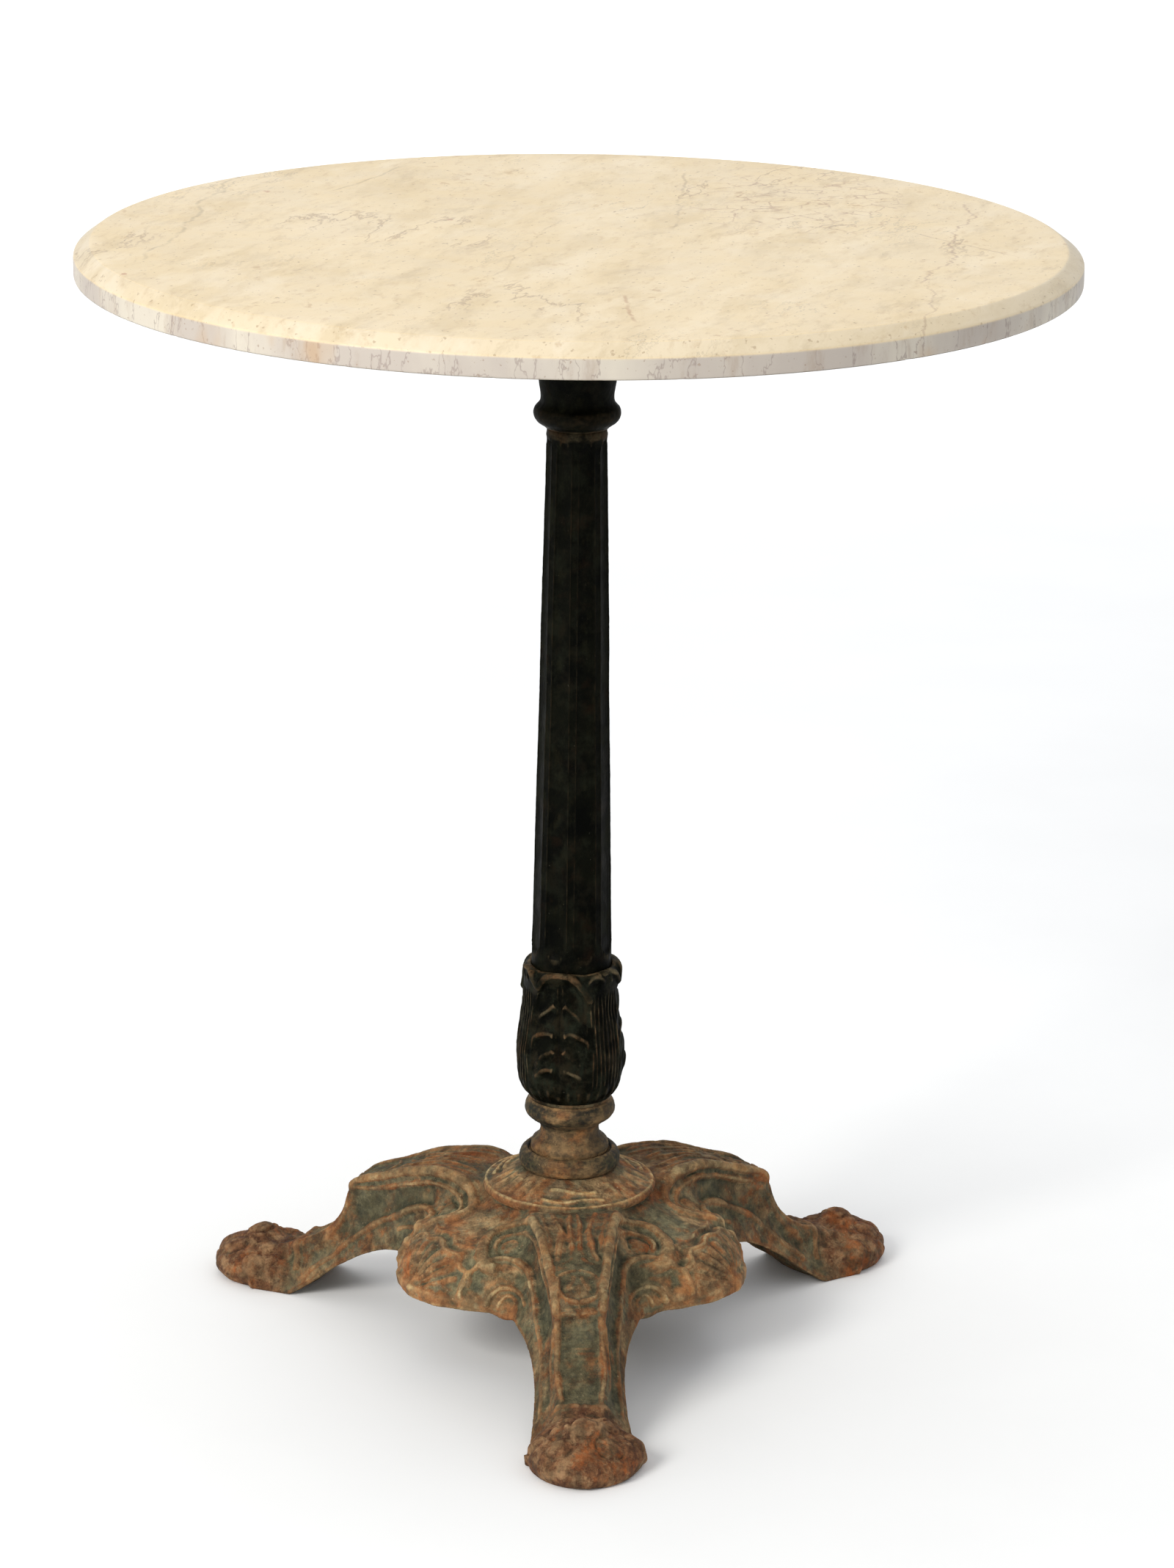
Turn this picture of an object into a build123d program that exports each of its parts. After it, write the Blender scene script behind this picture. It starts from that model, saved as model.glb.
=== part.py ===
from build123d import *
import os
from math import cos, sin, pi, radians

# Bistro table: round marble top on a fluted cast column and a three-legged cast base.
# Millimetres, Z up, origin on the floor under the column axis. The front leg points to -Y.

os.makedirs("parts", exist_ok=True)

# ---- driving dimensions -------------------------------------------------
TOP_D = 610.0            # diameter of the marble top
TOP_T = 20.0             # slab thickness
TABLE_H = 712.0          # floor to the top face
BEVEL_W = 10.2           # bevel round the top edge, measured in plan
BEVEL_H = 7.1            # drop of the bevel
ARRIS = 1.0              # small chamfer on the lower edge

PAD_T = 2.0              # cork pads between the iron and the stone
PAD_R = 11.0
ANCHOR_PCR = 118.0       # radius of the four fixing points
ANCHOR_R = 5.0
ANCHOR_L = 12.0
M5_MINOR = 2.1
M5_CLEAR = 2.75

ARM_T = 6.0
ARM_END = 136.0
HUB_R = 30.0
HUB_BOTTOM = 664.0

ROD_R = 6.0              # M12 tie rod
ROD_CLEAR = 8.0
ROD_BOTTOM = 66.0

SHAFT_BORE = 12.4
SHAFT_SEAT_Z = 168.0     # lower end of the column, inside the cup
SHAFT_TOP_Z = 596.0
FLUTES = 8
FLUTE_DEPTH = 1.5
FLUTE_R = 14.0

LEG_ANGLES = (-90.8, 33.6, 150.0)   # the casting isn't quite regular
FRONT_SET_BACK = 7.5     # the front foot is this much shorter
# (own direction, direction in the regular plan) of the legs and of the lobes between them
PLAN = [(-150.0, -150.0), (-90.8, -90.0), (-28.8, -30.0), (33.6, 30.0), (91.5, 90.0), (150.0, 150.0), (210.0, 210.0)]

SLAB_Z = TABLE_H - TOP_T          # 692, underside of the slab
SPIDER_TOP = SLAB_Z - PAD_T       # 690


def revolved(points, angle=360.0):
    """Solid of revolution about Z from a closed list of (r, z) points."""
    wire = Polyline(*[(r, 0, z) for r, z in points], close=True)
    return revolve(make_face(wire), Axis.Z, angle)


def disc(radius, z0, z1, x=0.0, y=0.0):
    return Pos(x, y, z0) * Cylinder(radius, z1 - z0, align=(Align.CENTER, Align.CENTER, Align.MIN))


def turned(shape, angle):
    return Rot(0, 0, angle) * shape


def hexagon(across_flats, z0, z1, x=0.0, y=0.0):
    prism = extrude(RegularPolygon(across_flats / 2, 6, major_radius=False), z1 - z0)
    return Pos(x, y, z0) * prism


def one(shape):
    """The single solid of a boolean result."""
    solids = shape.solids()
    assert len(solids) == 1, len(solids)
    return solids[0]


def spots(radius, count=4, start=45.0):
    step = 360.0 / count
    return [
        (radius * cos(radians(start + i * step)), radius * sin(radians(start + i * step)))
        for i in range(count)
    ]


parts = {}

# ---- marble top -----------------------------------------------------------
R = TOP_D / 2
slab = revolved(
    [
        (0, SLAB_Z),
        (R - ARRIS, SLAB_Z),
        (R, SLAB_Z + ARRIS),
        (R, TABLE_H - BEVEL_H),
        (R - BEVEL_W, TABLE_H),
        (0, TABLE_H),
    ]
)
for x, y in spots(ANCHOR_PCR):
    slab = slab - disc(ANCHOR_R, SLAB_Z - 1, SLAB_Z + ANCHOR_L, x, y)
parts["marble_top"] = one(slab)

# ---- threaded anchors set in the stone --------------------------------------
parts["marble_anchors"] = Compound(
    children=[
        one(disc(ANCHOR_R, SLAB_Z, SLAB_Z + ANCHOR_L, x, y) - disc(M5_MINOR, SLAB_Z - 1, SLAB_Z + ANCHOR_L - 1.5, x, y))
        for x, y in spots(ANCHOR_PCR)
    ]
)

# ---- cork pads ---------------------------------------------------------------
parts["cork_pads"] = Compound(
    children=[
        one(disc(PAD_R, SPIDER_TOP, SLAB_Z, x, y) - disc(M5_CLEAR, SPIDER_TOP - 1, SLAB_Z + 1, x, y))
        for x, y in spots(ANCHOR_PCR)
    ]
)

# ---- top spider: hub and four ribbed arms ----------------------------------
spider = disc(HUB_R, HUB_BOTTOM, SPIDER_TOP)
arm_plan = make_face(
    Polyline((0, -15), (60, -13.5), (ARM_END - 14, -11), (ARM_END - 4, -8.5), (ARM_END, -4), (ARM_END, 4), (ARM_END - 4, 8.5), (ARM_END - 14, 11), (60, 13.5), (0, 15), close=True)
)
arm = Pos(0, 0, SPIDER_TOP - ARM_T) * extrude(arm_plan, ARM_T)
rib_side = make_face(
    Polyline((0, 0, 668), (26, 0, 668), (60, 0, 677), (98, 0, 684.5), (98, 0, 686), (0, 0, 686), close=True)
)
rib = extrude(rib_side, 3.5, both=True)
for k in range(4):
    spider = spider + turned(arm, 45 + 90 * k) + turned(rib, 45 + 90 * k)
spider = spider - disc(6.5, HUB_BOTTOM - 1, SPIDER_TOP + 1) - disc(14.0, 676.0, SPIDER_TOP + 1)
for x, y in spots(ANCHOR_PCR):
    spider = spider - disc(M5_CLEAR, 680, SPIDER_TOP + 1, x, y)
parts["top_spider"] = one(spider)

# ---- screws and washers under the arms ---------------------------------------
ARM_UNDER = SPIDER_TOP - ARM_T
screws, washers = [], []
for x, y in spots(ANCHOR_PCR):
    head = disc(4.6, ARM_UNDER - 4.4, ARM_UNDER - 1.0, x, y)
    head = fillet(head.edges().group_by(Axis.Z)[0], 1.4)
    shank = disc(M5_MINOR, ARM_UNDER - 1.5, SLAB_Z + 10.0, x, y)
    screws.append(one(head + shank - hexagon(3.0, ARM_UNDER - 5, ARM_UNDER - 2.4, x, y)))
    washers.append(one(disc(5.5, ARM_UNDER - 1.0, ARM_UNDER, x, y) - disc(M5_CLEAR, ARM_UNDER - 2, ARM_UNDER + 1, x, y)))
parts["spider_screws"] = Compound(children=screws)
parts["screw_washers"] = Compound(children=washers)

# ---- capital collar ----------------------------------------------------------
parts["capital_collar"] = one(
    revolved(
        [
            (9.0, 586.0),
            (12.2, 586.0),
            (12.2, SHAFT_TOP_Z),
            (19.4, SHAFT_TOP_Z),
            (21.1, 597.6),
            (24.2, 599.4),
            (25.8, 601.3),
            (26.9, 603.3),
            (26.9, 606.7),
            (26.2, 608.6),
            (24.2, 610.4),
            (22.8, 612.2),
            (22.5, 615.5),
            (23.0, 619.6),
            (23.8, 624.0),
            (25.2, 634.0),
            (27.2, 648.0),
            (29.3, 659.0),
            (30.0, 661.0),
            (30.0, HUB_BOTTOM),
            (9.0, HUB_BOTTOM),
        ]
    )
)

# ---- fluted column ----------------------------------------------------------
shaft_out = [
    (25.2, SHAFT_SEAT_Z),
    (25.2, 256.0),
    (24.4, 280.0),
    (23.6, 329.0),
    (22.6, 377.0),
    (21.4, 424.0),
    (20.9, 471.0),
    (19.9, 518.0),
    (18.9, 564.0),
    (18.4, 588.0),
    (18.4, SHAFT_TOP_Z),
]
column = revolved([(SHAFT_BORE, SHAFT_SEAT_Z)] + shaft_out + [(SHAFT_BORE, SHAFT_TOP_Z)])
# shallow flutes: slanted round cutters that follow the taper of the shaft
flute_lo, flute_hi = 266.0, 584.0
r_lo = 24.9 + FLUTE_R - FLUTE_DEPTH
r_hi = 18.45 + FLUTE_R - FLUTE_DEPTH
lo_plane = Plane(origin=(r_lo, 0, flute_lo), x_dir=(1, 0, 0), z_dir=(r_hi - r_lo, 0, flute_hi - flute_lo))
cutter = extrude(lo_plane * Circle(FLUTE_R), amount=((r_hi - r_lo) ** 2 + (flute_hi - flute_lo) ** 2) ** 0.5)
for k in range(FLUTES):
    column = column - turned(cutter, 360.0 / FLUTES * k + 16.5)
parts["fluted_column"] = one(column)

# ---- acanthus cup -------------------------------------------------------------
parts["acanthus_cup"] = one(
    revolved(
        [
            (8.0, 161.7),
            (26.1, 161.7),
            (27.0, 163.7),
            (28.6, 165.7),
            (30.0, 167.6),
            (31.4, 169.6),
            (32.3, 171.6),
            (33.0, 173.6),
            (33.8, 177.5),
            (34.4, 183.0),
            (34.6, 188.0),
            (34.4, 197.0),
            (33.2, 205.0),
            (32.5, 211.0),
            (31.3, 222.8),
            (30.6, 233.0),
            (30.6, 241.0),
            (30.6, 246.0),
            (30.2, 249.0),
            (29.0, 250.7),
            (27.2, 251.2),
            (25.4, 251.2),
            (25.4, SHAFT_SEAT_Z),
            (8.0, SHAFT_SEAT_Z),
        ]
    )
)

# ---- neck knop ---------------------------------------------------------------
parts["neck_knop"] = one(
    revolved(
        [
            (8.0, 126.0),
            (24.4, 126.0),
            (24.8, 128.4),
            (24.7, 130.6),
            (24.0, 132.4),
            (22.4, 133.9),
            (20.2, 135.4),
            (19.0, 137.4),
            (18.4, 139.8),
            (18.6, 142.4),
            (19.4, 144.4),
            (21.6, 146.2),
            (24.6, 148.2),
            (27.2, 150.2),
            (28.4, 152.0),
            (28.7, 153.8),
            (28.4, 156.0),
            (27.6, 158.6),
            (26.3, 160.6),
            (24.8, 161.7),
            (8.0, 161.7),
        ]
    )
)

# ---- torus ring under the knop -----------------------------------------------
parts["base_torus"] = one(
    revolved(
        [
            (8.0, 115.0),
            (28.2, 115.0),
            (30.4, 115.9),
            (31.7, 117.6),
            (32.1, 120.2),
            (31.8, 122.8),
            (30.8, 125.4),
            (29.0, 127.4),
            (27.2, 127.9),
            (25.8, 127.0),
            (25.6, 126.0),
            (8.0, 126.0),
        ]
    )
)

# ---- tripod base ---------------------------------------------------------------
# Leg sections, measured along the leg from the column axis: (distance, [(half width, z) from bottom to top])
leg_sections = [
    (20.0, [(49.7, 50.0), (46.6, 56.8), (39.0, 70.4), (32.8, 85.0), (29.2, 96.4), (27.0, 98.0)]),
    (60.0, [(47.7, 50.0), (44.7, 57.6), (37.3, 72.8), (31.1, 89.1), (27.4, 102.7), (25.2, 104.3)]),
    (77.0, [(44.7, 50.0), (41.4, 57.7), (33.9, 73.0), (28.2, 89.4), (24.9, 103.2), (22.9, 104.8)]),
    (95.0, [(40.8, 49.9), (37.5, 57.1), (30.1, 71.5), (24.8, 87.0), (21.9, 99.8), (19.9, 101.4)]),
    (110.0, [(36.1, 47.5), (33.8, 54.4), (27.3, 68.1), (22.3, 82.8), (19.7, 95.0), (17.6, 96.6)]),
    (122.0, [(32.1, 43.5), (30.1, 50.3), (25.3, 63.8), (20.6, 78.4), (18.0, 90.3), (16.0, 91.9)]),
    (131.0, [(29.8, 39.1), (27.8, 46.1), (23.2, 59.9), (19.6, 74.7), (16.9, 86.9), (14.9, 88.5)]),
    (140.0, [(28.4, 34.2), (25.9, 41.3), (20.9, 55.6), (18.4, 71.0), (16.1, 83.7), (14.1, 85.3)]),
    (147.0, [(27.8, 29.9), (25.0, 37.2), (19.5, 51.8), (17.0, 67.5), (15.6, 80.6), (13.6, 82.2)]),
    (150.5, [(27.6, 27.6), (24.8, 34.8), (19.1, 49.2), (16.4, 64.7), (15.4, 77.5), (13.5, 79.1)]),
    (152.6, [(27.6, 26.2), (24.9, 32.9), (19.2, 46.3), (16.2, 60.7), (15.4, 72.6), (13.5, 74.2)]),
    (154.0, [(27.6, 25.2), (25.2, 31.2), (19.8, 43.3), (16.5, 56.2), (15.4, 66.6), (13.6, 68.2)]),
    (156.5, [(27.7, 23.4), (25.8, 28.5), (20.7, 38.9), (17.1, 50.0), (15.6, 58.7), (13.6, 60.3)]),
    (160.0, [(27.8, 20.7), (26.2, 25.3), (21.2, 34.7), (17.7, 44.7), (15.8, 52.4), (13.8, 54.0)]),
    (166.0, [(28.4, 15.7), (26.8, 20.1), (21.7, 28.9), (18.0, 38.2), (16.1, 45.4), (14.1, 47.0)]),
    (172.0, [(29.2, 11.0), (27.3, 15.3), (22.0, 23.9), (17.9, 33.2), (15.9, 40.2), (13.8, 41.8)]),
    (178.0, [(30.2, 6.7), (28.1, 11.0), (22.3, 19.5), (17.8, 28.7), (15.6, 35.7), (13.5, 37.3)]),
    (184.0, [(30.6, 2.7), (29.8, 7.1), (24.0, 15.8), (17.7, 25.2), (15.2, 32.3), (13.0, 33.9)]),
    (190.0, [(29.6, 0.0), (31.0, 5.0), (26.0, 13.2), (18.2, 22.6), (14.9, 29.8), (12.6, 31.4)]),
    (198.0, [(29.6, 0.0), (32.4, 5.6), (30.2, 11.0), (20.0, 21.0), (14.6, 26.8), (9.6, 28.8)]),
    (206.0, [(30.2, 0.0), (33.6, 6.0), (32.8, 11.0), (25.0, 18.6), (14.5, 22.7), (7.6, 25.4)]),
    (214.0, [(30.6, 0.0), (34.3, 6.0), (34.0, 11.0), (26.2, 19.3), (15.2, 23.6), (7.2, 28.8)]),
    (222.0, [(30.8, 0.0), (34.5, 6.0), (34.2, 11.0), (26.4, 19.3), (15.3, 23.7), (7.2, 32.0)]),
    (230.0, [(29.2, 0.0), (33.0, 6.0), (32.7, 11.0), (25.4, 18.8), (14.7, 23.0), (7.0, 30.2)]),
    (238.0, [(25.4, 0.0), (29.7, 6.0), (29.4, 11.0), (23.2, 17.5), (13.5, 21.5), (6.4, 23.1)]),
    (245.0, [(19.4, 0.0), (24.8, 6.0), (24.7, 10.3), (19.9, 15.7), (11.6, 19.2), (5.5, 20.6)]),
    (251.0, [(8.7, 0.0), (17.2, 5.1), (18.1, 8.6), (15.2, 13.0), (9.0, 15.9), (4.3, 17.1)]),
    (255.5, [(3.0, 1.5), (6.4, 3.6), (8.0, 6.4), (7.4, 9.6), (4.8, 11.8), (2.4, 12.6)]),
]
# Hollow under each leg, open below
cavity_sections = [
    (12.0, [(42.0, 36.0), (42.0, 52.0), (33.0, 68.0), (24.0, 84.0)]),
    (60.0, [(40.6, 36.0), (40.6, 52.0), (31.0, 72.0), (20.0, 96.6)]),
    (77.0, [(37.4, 36.0), (37.4, 52.0), (27.4, 72.0), (17.8, 96.8)]),
    (95.0, [(33.4, 34.0), (33.4, 51.0), (23.6, 70.0), (14.8, 93.6)]),
    (110.0, [(29.0, 30.0), (29.0, 48.0), (21.4, 66.0), (12.6, 88.6)]),
    (122.0, [(25.0, 26.0), (25.0, 44.0), (19.0, 62.0), (11.0, 83.8)]),
    (131.0, [(22.8, 22.0), (22.8, 40.0), (17.0, 57.0), (9.8, 80.0)]),
    (140.0, [(21.4, 16.0), (21.4, 35.0), (14.6, 53.0), (9.0, 76.0)]),
    (144.5, [(21.0, 12.0), (21.0, 31.6), (13.4, 50.0), (8.6, 72.0)]),
    (148.0, [(20.8, 9.0), (20.8, 29.0), (13.4, 46.0), (8.4, 61.0)]),
    (153.0, [(20.6, 4.0), (20.6, 26.0), (14.4, 38.0), (8.4, 50.0)]),
    (158.0, [(20.8, 0.0), (20.8, 22.0), (15.0, 33.0), (8.6, 43.2)]),
    (164.0, [(21.0, -4.0), (21.0, 17.0), (15.0, 27.0), (8.8, 37.0)]),
    (170.0, [(21.6, -8.0), (21.6, 12.0), (15.0, 22.0), (8.8, 32.0)]),
    (176.0, [(22.2, -12.0), (22.2, 8.0), (15.2, 18.0), (8.8, 27.6)]),
]


def set_back(dist):
    """The front foot is a little shorter than the others."""
    t = min(max((dist - 165.0) / 85.0, 0.0), 1.0)
    return dist - FRONT_SET_BACK * t * t * (3 - 2 * t)


def lofted(sections, front=False):
    """Ruled loft along +X through symmetric many-sided sections."""
    wires = []
    for dist, pts in sections:
        x = set_back(dist) if front else dist
        ring = [(x, w, z) for w, z in pts] + [(x, -w, z) for w, z in reversed(pts)]
        wires.append(Wire.make_polygon([Vector(*p) for p in ring], close=True))
    return Solid.make_loft(wires, ruled=True)


# Apron: three lobes between the legs. Each level of the dome is the same outline at another scale.
lobe = [(0, 119.5), (5, 119), (10, 116.5), (17, 111.5), (24, 106.5), (31, 102.5), (38, 99), (48, 94), (60, 90)]
dome_levels = [(124.0, 50.0), (121.0, 61.0), (116.0, 70.5), (108.0, 78.0), (98.0, 82.5), (86.0, 85.8), (74.0, 89.0), (62.0, 93.5), (50.0, 98.0)]
hollow_levels = [(116.4, 38.0), (116.4, 50.0), (113.8, 59.0), (109.4, 66.0), (103.6, 71.0), (95.5, 75.2), (84.3, 78.5), (71.6, 82.0), (60.0, 86.0), (50.0, 88.0)]


def real_angle(a):
    """Places an angle of the ideal three-fold plan on the casting's own leg and lobe directions."""
    for (t0, f0), (t1, f1) in zip(PLAN[:-1], PLAN[1:]):
        if f0 <= a <= f1:
            return t0 + (t1 - t0) * (a - f0) / (f1 - f0)
    return a


def lobed(scale, z):
    pts = []
    for centre in (-30.0, 90.0, 210.0):
        for a, r in lobe[::-1][:-1]:
            pts.append((centre - a, r))
        for a, r in lobe[:-1]:
            pts.append((centre + a, r))
    xyz = []
    for a, r in pts:
        a = radians(real_angle((a + 150.0) % 360.0 - 150.0))
        xyz.append((r * scale * cos(a), r * scale * sin(a), z))
    return Wire(Spline(*xyz, periodic=True))


def lobed_dome(levels):
    return Solid.make_loft([lobed(r / 124.0, z) for r, z in levels], ruled=True)


medallion = revolved(
    [
        (0, 88.0),
        (48.0, 88.0),
        (49.6, 92.0),
        (51.0, 98.4),
        (53.8, 100.4),
        (54.8, 102.0),
        (54.8, 103.8),
        (53.4, 105.4),
        (51.0, 105.5),
        (48.0, 106.6),
        (43.0, 109.0),
        (37.0, 111.8),
        (34.0, 114.2),
        (33.5, 115.0),
        (0, 115.0),
    ]
)
outer = lobed_dome(dome_levels)
inner = lobed_dome(hollow_levels)
for k, angle in enumerate(LEG_ANGLES):
    outer = outer + turned(lofted(leg_sections, front=(k == 0)), angle)
    inner = inner + turned(lofted(cavity_sections, front=(k == 0)), angle)
base = outer - inner + medallion
base = base - disc(ROD_CLEAR, 60.0, 130.0)
parts["tripod_base"] = one(base)

# ---- tie rod and its nuts and washers ------------------------------------------
rod = disc(ROD_R, ROD_BOTTOM, 690.5)
rod = chamfer(rod.edges(), 0.8)
parts["tie_rod"] = one(rod)


def nut(across_flats, z0, z1):
    body = hexagon(across_flats, z0, z1) & revolved(
        [(0, z0), (across_flats / 2, z0), (across_flats * 0.58, z0 + 1.2), (across_flats * 0.58, z1 - 1.2), (across_flats / 2, z1), (0, z1)]
    )
    return one(body - disc(ROD_R, z0 - 1, z1 + 1))


parts["top_washer"] = one(disc(12.0, 676.0, 678.5) - disc(6.5, 675, 680))
parts["top_nut"] = nut(19.0, 678.5, 688.5)
parts["bottom_plate_washer"] = one(disc(24.0, 83.0, 88.0) - disc(6.5, 82, 89))
lock = disc(10.5, 80.0, 83.0) - disc(6.5, 79, 84)
lock = lock - Pos(8.5, 0, 81.5) * Rot(18, 0, 0) * Box(8, 1.2, 8)
parts["bottom_lock_washer"] = one(lock)
parts["bottom_nut"] = nut(19.0, 70.0, 80.0)

for name, shape in parts.items():
    shape.label = name
    export_step(shape, f"parts/{name}.step")
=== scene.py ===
import math
import bpy
import numpy as np
from mathutils import Matrix, Vector


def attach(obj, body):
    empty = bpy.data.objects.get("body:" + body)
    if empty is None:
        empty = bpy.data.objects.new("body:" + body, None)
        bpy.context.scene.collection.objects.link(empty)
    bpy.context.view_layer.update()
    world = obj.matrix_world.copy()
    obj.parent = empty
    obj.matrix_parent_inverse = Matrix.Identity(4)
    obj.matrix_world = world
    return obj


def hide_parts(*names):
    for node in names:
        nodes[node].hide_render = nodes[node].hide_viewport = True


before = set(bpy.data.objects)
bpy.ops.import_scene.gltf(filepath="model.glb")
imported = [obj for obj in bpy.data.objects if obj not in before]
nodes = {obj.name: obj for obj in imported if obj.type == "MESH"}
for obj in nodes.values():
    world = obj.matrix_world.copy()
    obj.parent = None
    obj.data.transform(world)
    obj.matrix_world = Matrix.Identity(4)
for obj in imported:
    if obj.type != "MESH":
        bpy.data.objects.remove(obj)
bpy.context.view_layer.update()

MM = 0.001
rng = np.random.default_rng(20261)

# =====================================================================
#  Camera, at the viewing angle of the reference: 121 mm lens, slight tilt
# =====================================================================
ANG = math.radians(-3.5)
DIST, HEIGHT, PITCH, YAW, ROLL = 3.15297, 1.32291, 0.2941, -0.0027, 0.0115


def turn_z(v, a):
    return Vector((v.x * math.cos(a) - v.y * math.sin(a), v.x * math.sin(a) + v.y * math.cos(a), v.z))


right = turn_z(Vector((math.cos(YAW), math.sin(YAW), 0)), ANG)
ahead = turn_z(Vector((-math.sin(YAW), math.cos(YAW), 0)), ANG)
zed = Vector((0, 0, 1))
fwd = math.cos(PITCH) * ahead - math.sin(PITCH) * zed
upv = math.sin(PITCH) * ahead + math.cos(PITCH) * zed
cam_right = math.cos(ROLL) * right + math.sin(ROLL) * upv
cam_up = -math.sin(ROLL) * right + math.cos(ROLL) * upv
cam_data = bpy.data.cameras.new("camera")
cam_data.lens = 7200.17 / 2137 * 36
cam_data.sensor_width = 36
cam_data.clip_start = 0.05
cam_data.clip_end = 60
camera = bpy.data.objects.new("camera", cam_data)
camera.matrix_world = Matrix((
    (cam_right.x, cam_up.x, -fwd.x, DIST * math.sin(ANG)),
    (cam_right.y, cam_up.y, -fwd.y, -DIST * math.cos(ANG)),
    (cam_right.z, cam_up.z, -fwd.z, HEIGHT),
    (0, 0, 0, 1)))
bpy.context.scene.collection.objects.link(camera)
bpy.context.scene.camera = camera

# =====================================================================
#  Small helpers: smooth noise, curves, meshes, node trees
# =====================================================================
LAT = {}


def vnoise(p, freq, seed):
    """Smooth value noise of points (n, 3), about -1 to 1."""
    if seed not in LAT:
        LAT[seed] = np.random.default_rng(seed).random((32, 32, 32)) * 2 - 1
    g = LAT[seed]
    q = p * freq + 100.3
    i = np.floor(q).astype(np.int64)
    f = q - i
    f = f * f * (3 - 2 * f)
    out = np.zeros(len(p))
    for dx in (0, 1):
        wx = f[:, 0] if dx else 1 - f[:, 0]
        for dy in (0, 1):
            wy = f[:, 1] if dy else 1 - f[:, 1]
            for dz in (0, 1):
                wz = f[:, 2] if dz else 1 - f[:, 2]
                out += wx * wy * wz * g[(i[:, 0] + dx) % 32, (i[:, 1] + dy) % 32, (i[:, 2] + dz) % 32]
    return out


def fbm(p, freq, seed, octaves=3, gain=0.5):
    out, a, t = np.zeros(len(p)), 1.0, 0.0
    for k in range(octaves):
        out += a * vnoise(p, freq * 2.03 ** k, seed + k)
        t += a
        a *= gain
    return out / t


def crom(pts, n=10):
    """Catmull-Rom curve through the points."""
    P = np.array(pts, float)
    Q = np.vstack([2 * P[0] - P[1], P, 2 * P[-1] - P[-2]])
    out = []
    for i in range(1, len(Q) - 2):
        t = np.linspace(0, 1, n, endpoint=False)[:, None]
        a, b, c, d = Q[i - 1], Q[i], Q[i + 1], Q[i + 2]
        out.append(0.5 * ((2 * b) + (c - a) * t + (2 * a - 5 * b + 4 * c - d) * t * t + (3 * b - a - 3 * c + d) * t ** 3))
    out.append(P[-1:])
    return np.vstack(out)


def smooth01(t):
    t = np.clip(t, 0, 1)
    return t * t * (3 - 2 * t)


def piece(name, verts, faces, mat, replaces=(), attrs=None, sharp=False):
    me = bpy.data.meshes.new(name)
    me.from_pydata((np.asarray(verts, float) * MM).tolist(), [], faces if isinstance(faces, list) else faces.tolist())
    me.polygons.foreach_set("use_smooth", [not sharp] * len(me.polygons))
    for key, values in (attrs or {}).items():
        a = me.attributes.new(key, "FLOAT", "POINT")
        a.data.foreach_set("value", np.asarray(values, np.float32))
    me.materials.append(mat)
    me.update()
    ob = bpy.data.objects.new(name, me)
    bpy.context.scene.collection.objects.link(ob)
    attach(ob, "root")
    if replaces:
        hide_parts(*replaces)
    return ob


def ring_faces(rows, cols, closed=True):
    """Quads of a rows x cols grid whose columns wrap round, and whose rows do too if closed."""
    i = np.arange(rows if closed else rows - 1)[:, None]
    j = np.arange(cols)[None, :]
    i2, j2 = (i + 1) % rows, (j + 1) % cols
    return np.stack([i * cols + j, i * cols + j2, i2 * cols + j2, i2 * cols + j], -1).reshape(-1, 4)


def vertex_normals(V, F):
    a, b, c, d = V[F[:, 0]], V[F[:, 1]], V[F[:, 2]], V[F[:, 3]]
    n = np.cross(c - a, d - b)
    N = np.zeros_like(V)
    for k in range(4):
        for ax in range(3):
            N[:, ax] += np.bincount(F[:, k], n[:, ax], len(V))
    return N / (np.linalg.norm(N, axis=1, keepdims=True) + 1e-12)


def bulge(V, F, rounds=3):
    """How much each vertex stands out of its neighbourhood: ridges positive, hollows negative (mm)."""
    E = np.vstack([F[:, [0, 1]], F[:, [1, 2]], F[:, [2, 3]], F[:, [3, 0]]])
    S, cnt = V.copy(), np.bincount(E[:, 0], minlength=len(V)) + np.bincount(E[:, 1], minlength=len(V))
    cnt = np.maximum(cnt, 1)
    for _ in range(rounds):
        T = np.zeros_like(S)
        for ax in range(3):
            T[:, ax] = np.bincount(E[:, 0], S[E[:, 1], ax], len(V)) + np.bincount(E[:, 1], S[E[:, 0], ax], len(V))
        S = T / cnt[:, None]
    return np.einsum("ij,ij->i", V - S, vertex_normals(V, F))


def smooth_attr(F, n, v, rounds=2):
    E = np.vstack([F[:, [0, 1]], F[:, [1, 2]], F[:, [2, 3]], F[:, [3, 0]]])
    cnt = np.maximum(np.bincount(E[:, 0], minlength=n) + np.bincount(E[:, 1], minlength=n), 1)
    for _ in range(rounds):
        v = 0.4 * v + 0.6 * (np.bincount(E[:, 0], v[E[:, 1]], n) + np.bincount(E[:, 1], v[E[:, 0]], n)) / cnt
    return v


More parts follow.
